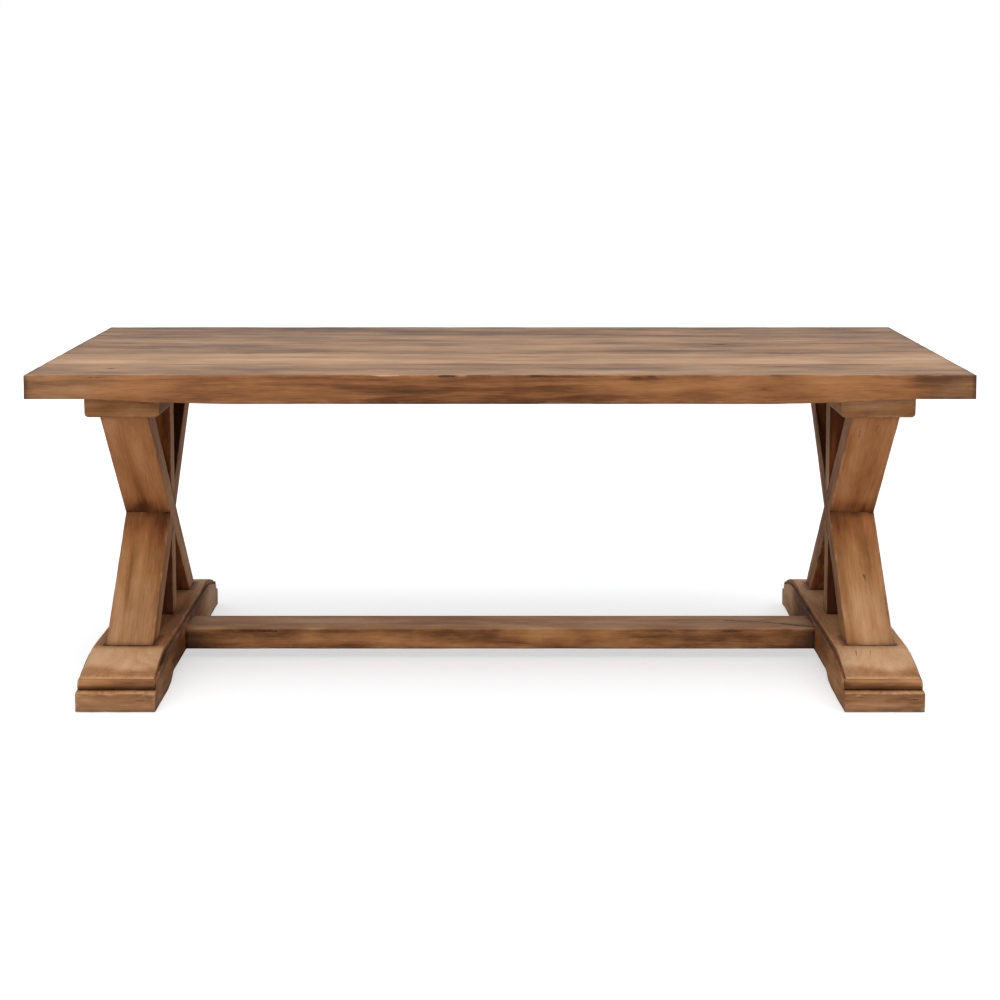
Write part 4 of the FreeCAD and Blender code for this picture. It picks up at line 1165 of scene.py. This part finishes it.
# -------------------------------------------------------------- middle batten
bm = cad_solid("centre_batten")
lines = round_arrises(
    bm, 0.0015, lambda a, b: abs(a.y - b.y) > 0.5 or abs(a.x - b.x) > 0.06
)
slice_up(bm, Y, even(-0.42, 0.42, 0.014))
slice_up(bm, X, even(-0.035, 0.035, 0.012))
finish_piece(
    bm, "centre_batten", (Y, X, Z), (0, 0, 0.703), (0.02, -0.08), lines,
    12, 0.0008, none, lambda p, n: np.full(len(p), -0.05), FRAME_WOOD,
)


# ------------------------------------------------------- hidden CAD pieces
def plain(name, low, high, rough, metal=0.0, scale=(60, 60, 60), specular=0.5):
    """A finish for small hardware: two tones and a worn sheen."""
    t = Tree(name)
    where = t.node("ShaderNodeTexCoord").outputs["Object"]
    n = t.noise(where, scale, 4, 0.6)
    fine = t.noise(where, tuple(s * 9 for s in scale), 2, 0.6)
    colour = t.ramp(t.ease(n, 0.3, 0.7), [(0.0, low), (1.0, high)])
    p = t.node("ShaderNodeBsdfPrincipled")
    t.put(p.inputs["Base Color"], colour)
    t.put(p.inputs["Roughness"], t.ease(fine, 0.3, 0.7, rough[0], rough[1]))
    t.put(p.inputs["Metallic"], metal)
    t.put(p.inputs["Specular IOR Level"], specular)
    relief = t.node("ShaderNodeBump")
    t.put(relief.inputs["Strength"], 0.2)
    t.put(relief.inputs["Distance"], 0.0004)
    t.put(relief.inputs["Height"], fine)
    t.put(p.inputs["Normal"], relief.outputs[0])
    out = t.node("ShaderNodeOutputMaterial")
    t.put(out.inputs["Surface"], p.outputs[0])
    return t.mat


ZINC = plain("zinc_steel", (0.36, 0.36, 0.35), (0.60, 0.60, 0.58), (0.30, 0.50), 1.0)
NYLON = plain("glide_plastic", (0.030, 0.020, 0.014), (0.060, 0.043, 0.032), (0.45, 0.60))
BEECH = plain(
    "hidden_wood", (0.46, 0.32, 0.19), (0.62, 0.46, 0.30), (0.55, 0.70), scale=(12, 160, 160)
)
for name, o in NODES.items():
    if any(name.endswith(s) for s in ("screws", "bolts", "washers", "nuts")):
        finish = ZINC
    elif name.endswith("glides"):
        finish = NYLON
    elif name.endswith(("splines", "dowels")):
        finish = BEECH
    else:
        continue
    for s in o.material_slots:
        s.material = finish

# --------------------------------------------------------------------- stage
# A white sweep. The camera sees it a little brighter than the light that it gives.
bm = bmesh.new()
bmesh.ops.create_grid(bm, x_segments=1, y_segments=1, size=400.0)
floor_mesh = bpy.data.meshes.new("floor")
bm.to_mesh(floor_mesh)
bm.free()
floor = bpy.data.objects.new("floor", floor_mesh)
bpy.context.scene.collection.objects.link(floor)
t = Tree("floor")
seen = t.node("ShaderNodeLightPath").outputs["Is Camera Ray"]
soft = t.node("ShaderNodeBsdfDiffuse")
soft.inputs["Color"].default_value = (FLOOR_BOUNCE, FLOOR_BOUNCE, FLOOR_BOUNCE, 1)
pale = t.node("ShaderNodeBsdfDiffuse")
pale.inputs["Color"].default_value = (FLOOR_SHADE * 0.975, FLOOR_SHADE, FLOOR_SHADE * 1.02, 1)
glow = t.node("ShaderNodeEmission")
glow.inputs["Color"].default_value = (1, 1, 1, 1)
glow.inputs["Strength"].default_value = FLOOR_GLOW
both = t.node("ShaderNodeAddShader")
t.put(both.inputs[0], pale.outputs[0])
t.put(both.inputs[1], glow.outputs[0])
pick = t.node("ShaderNodeMixShader")
t.put(pick.inputs[0], seen)
t.put(pick.inputs[1], soft.outputs[0])
t.put(pick.inputs[2], both.outputs[0])
out = t.node("ShaderNodeOutputMaterial")
t.put(out.inputs["Surface"], pick.outputs[0])
floor_mesh.materials.append(t.mat)

world = bpy.data.worlds.new("studio")
bpy.context.scene.world = world
world.use_nodes = True
nt = world.node_tree
nt.nodes.clear()
path = nt.nodes.new("ShaderNodeLightPath")
fill = nt.nodes.new("ShaderNodeBackground")
fill.inputs["Color"].default_value = (1, 1, 1, 1)
fill.inputs["Strength"].default_value = FILL
wall = nt.nodes.new("ShaderNodeBackground")
wall.inputs["Color"].default_value = (1, 1, 1, 1)
wall.inputs["Strength"].default_value = 1.0
pick = nt.nodes.new("ShaderNodeMixShader")
out = nt.nodes.new("ShaderNodeOutputWorld")
nt.links.new(path.outputs["Is Camera Ray"], pick.inputs[0])
nt.links.new(fill.outputs[0], pick.inputs[1])
nt.links.new(wall.outputs[0], pick.inputs[2])
nt.links.new(pick.outputs[0], out.inputs["Surface"])


def sun(name, towards, spread, strength):
    """A far, broad light that comes from that direction."""
    data = bpy.data.lights.new(name, "SUN")
    data.energy = strength
    data.angle = math.radians(spread)
    o = bpy.data.objects.new(name, data)
    o.rotation_mode = "QUATERNION"
    o.rotation_quaternion = Vector(towards).to_track_quat("Z", "Y")
    bpy.context.scene.collection.objects.link(o)
    return o


sun("overhead", (0.10, -0.50, 1.00), 60, OVERHEAD)
sun("front", (-0.15, -1.00, 0.14), 30, FRONT)

scene = bpy.context.scene
scene.view_settings.view_transform = "Standard"
scene.view_settings.look = "None"
scene.view_settings.exposure = 0.0
scene.view_settings.gamma = 1.0

# ------------------------------------------------------------------- camera
cam_data = bpy.data.cameras.new("camera")
cam_data.sensor_width = 36.0
cam_data.lens = 72.0
cam_data.shift_y = -0.195
cam = bpy.data.objects.new("camera", cam_data)
cam.location = (0.0, -4.867, 1.333)
cam.rotation_euler = (math.pi / 2 - 0.095, 0.0, 0.0)
bpy.context.scene.collection.objects.link(cam)
bpy.context.scene.camera = cam
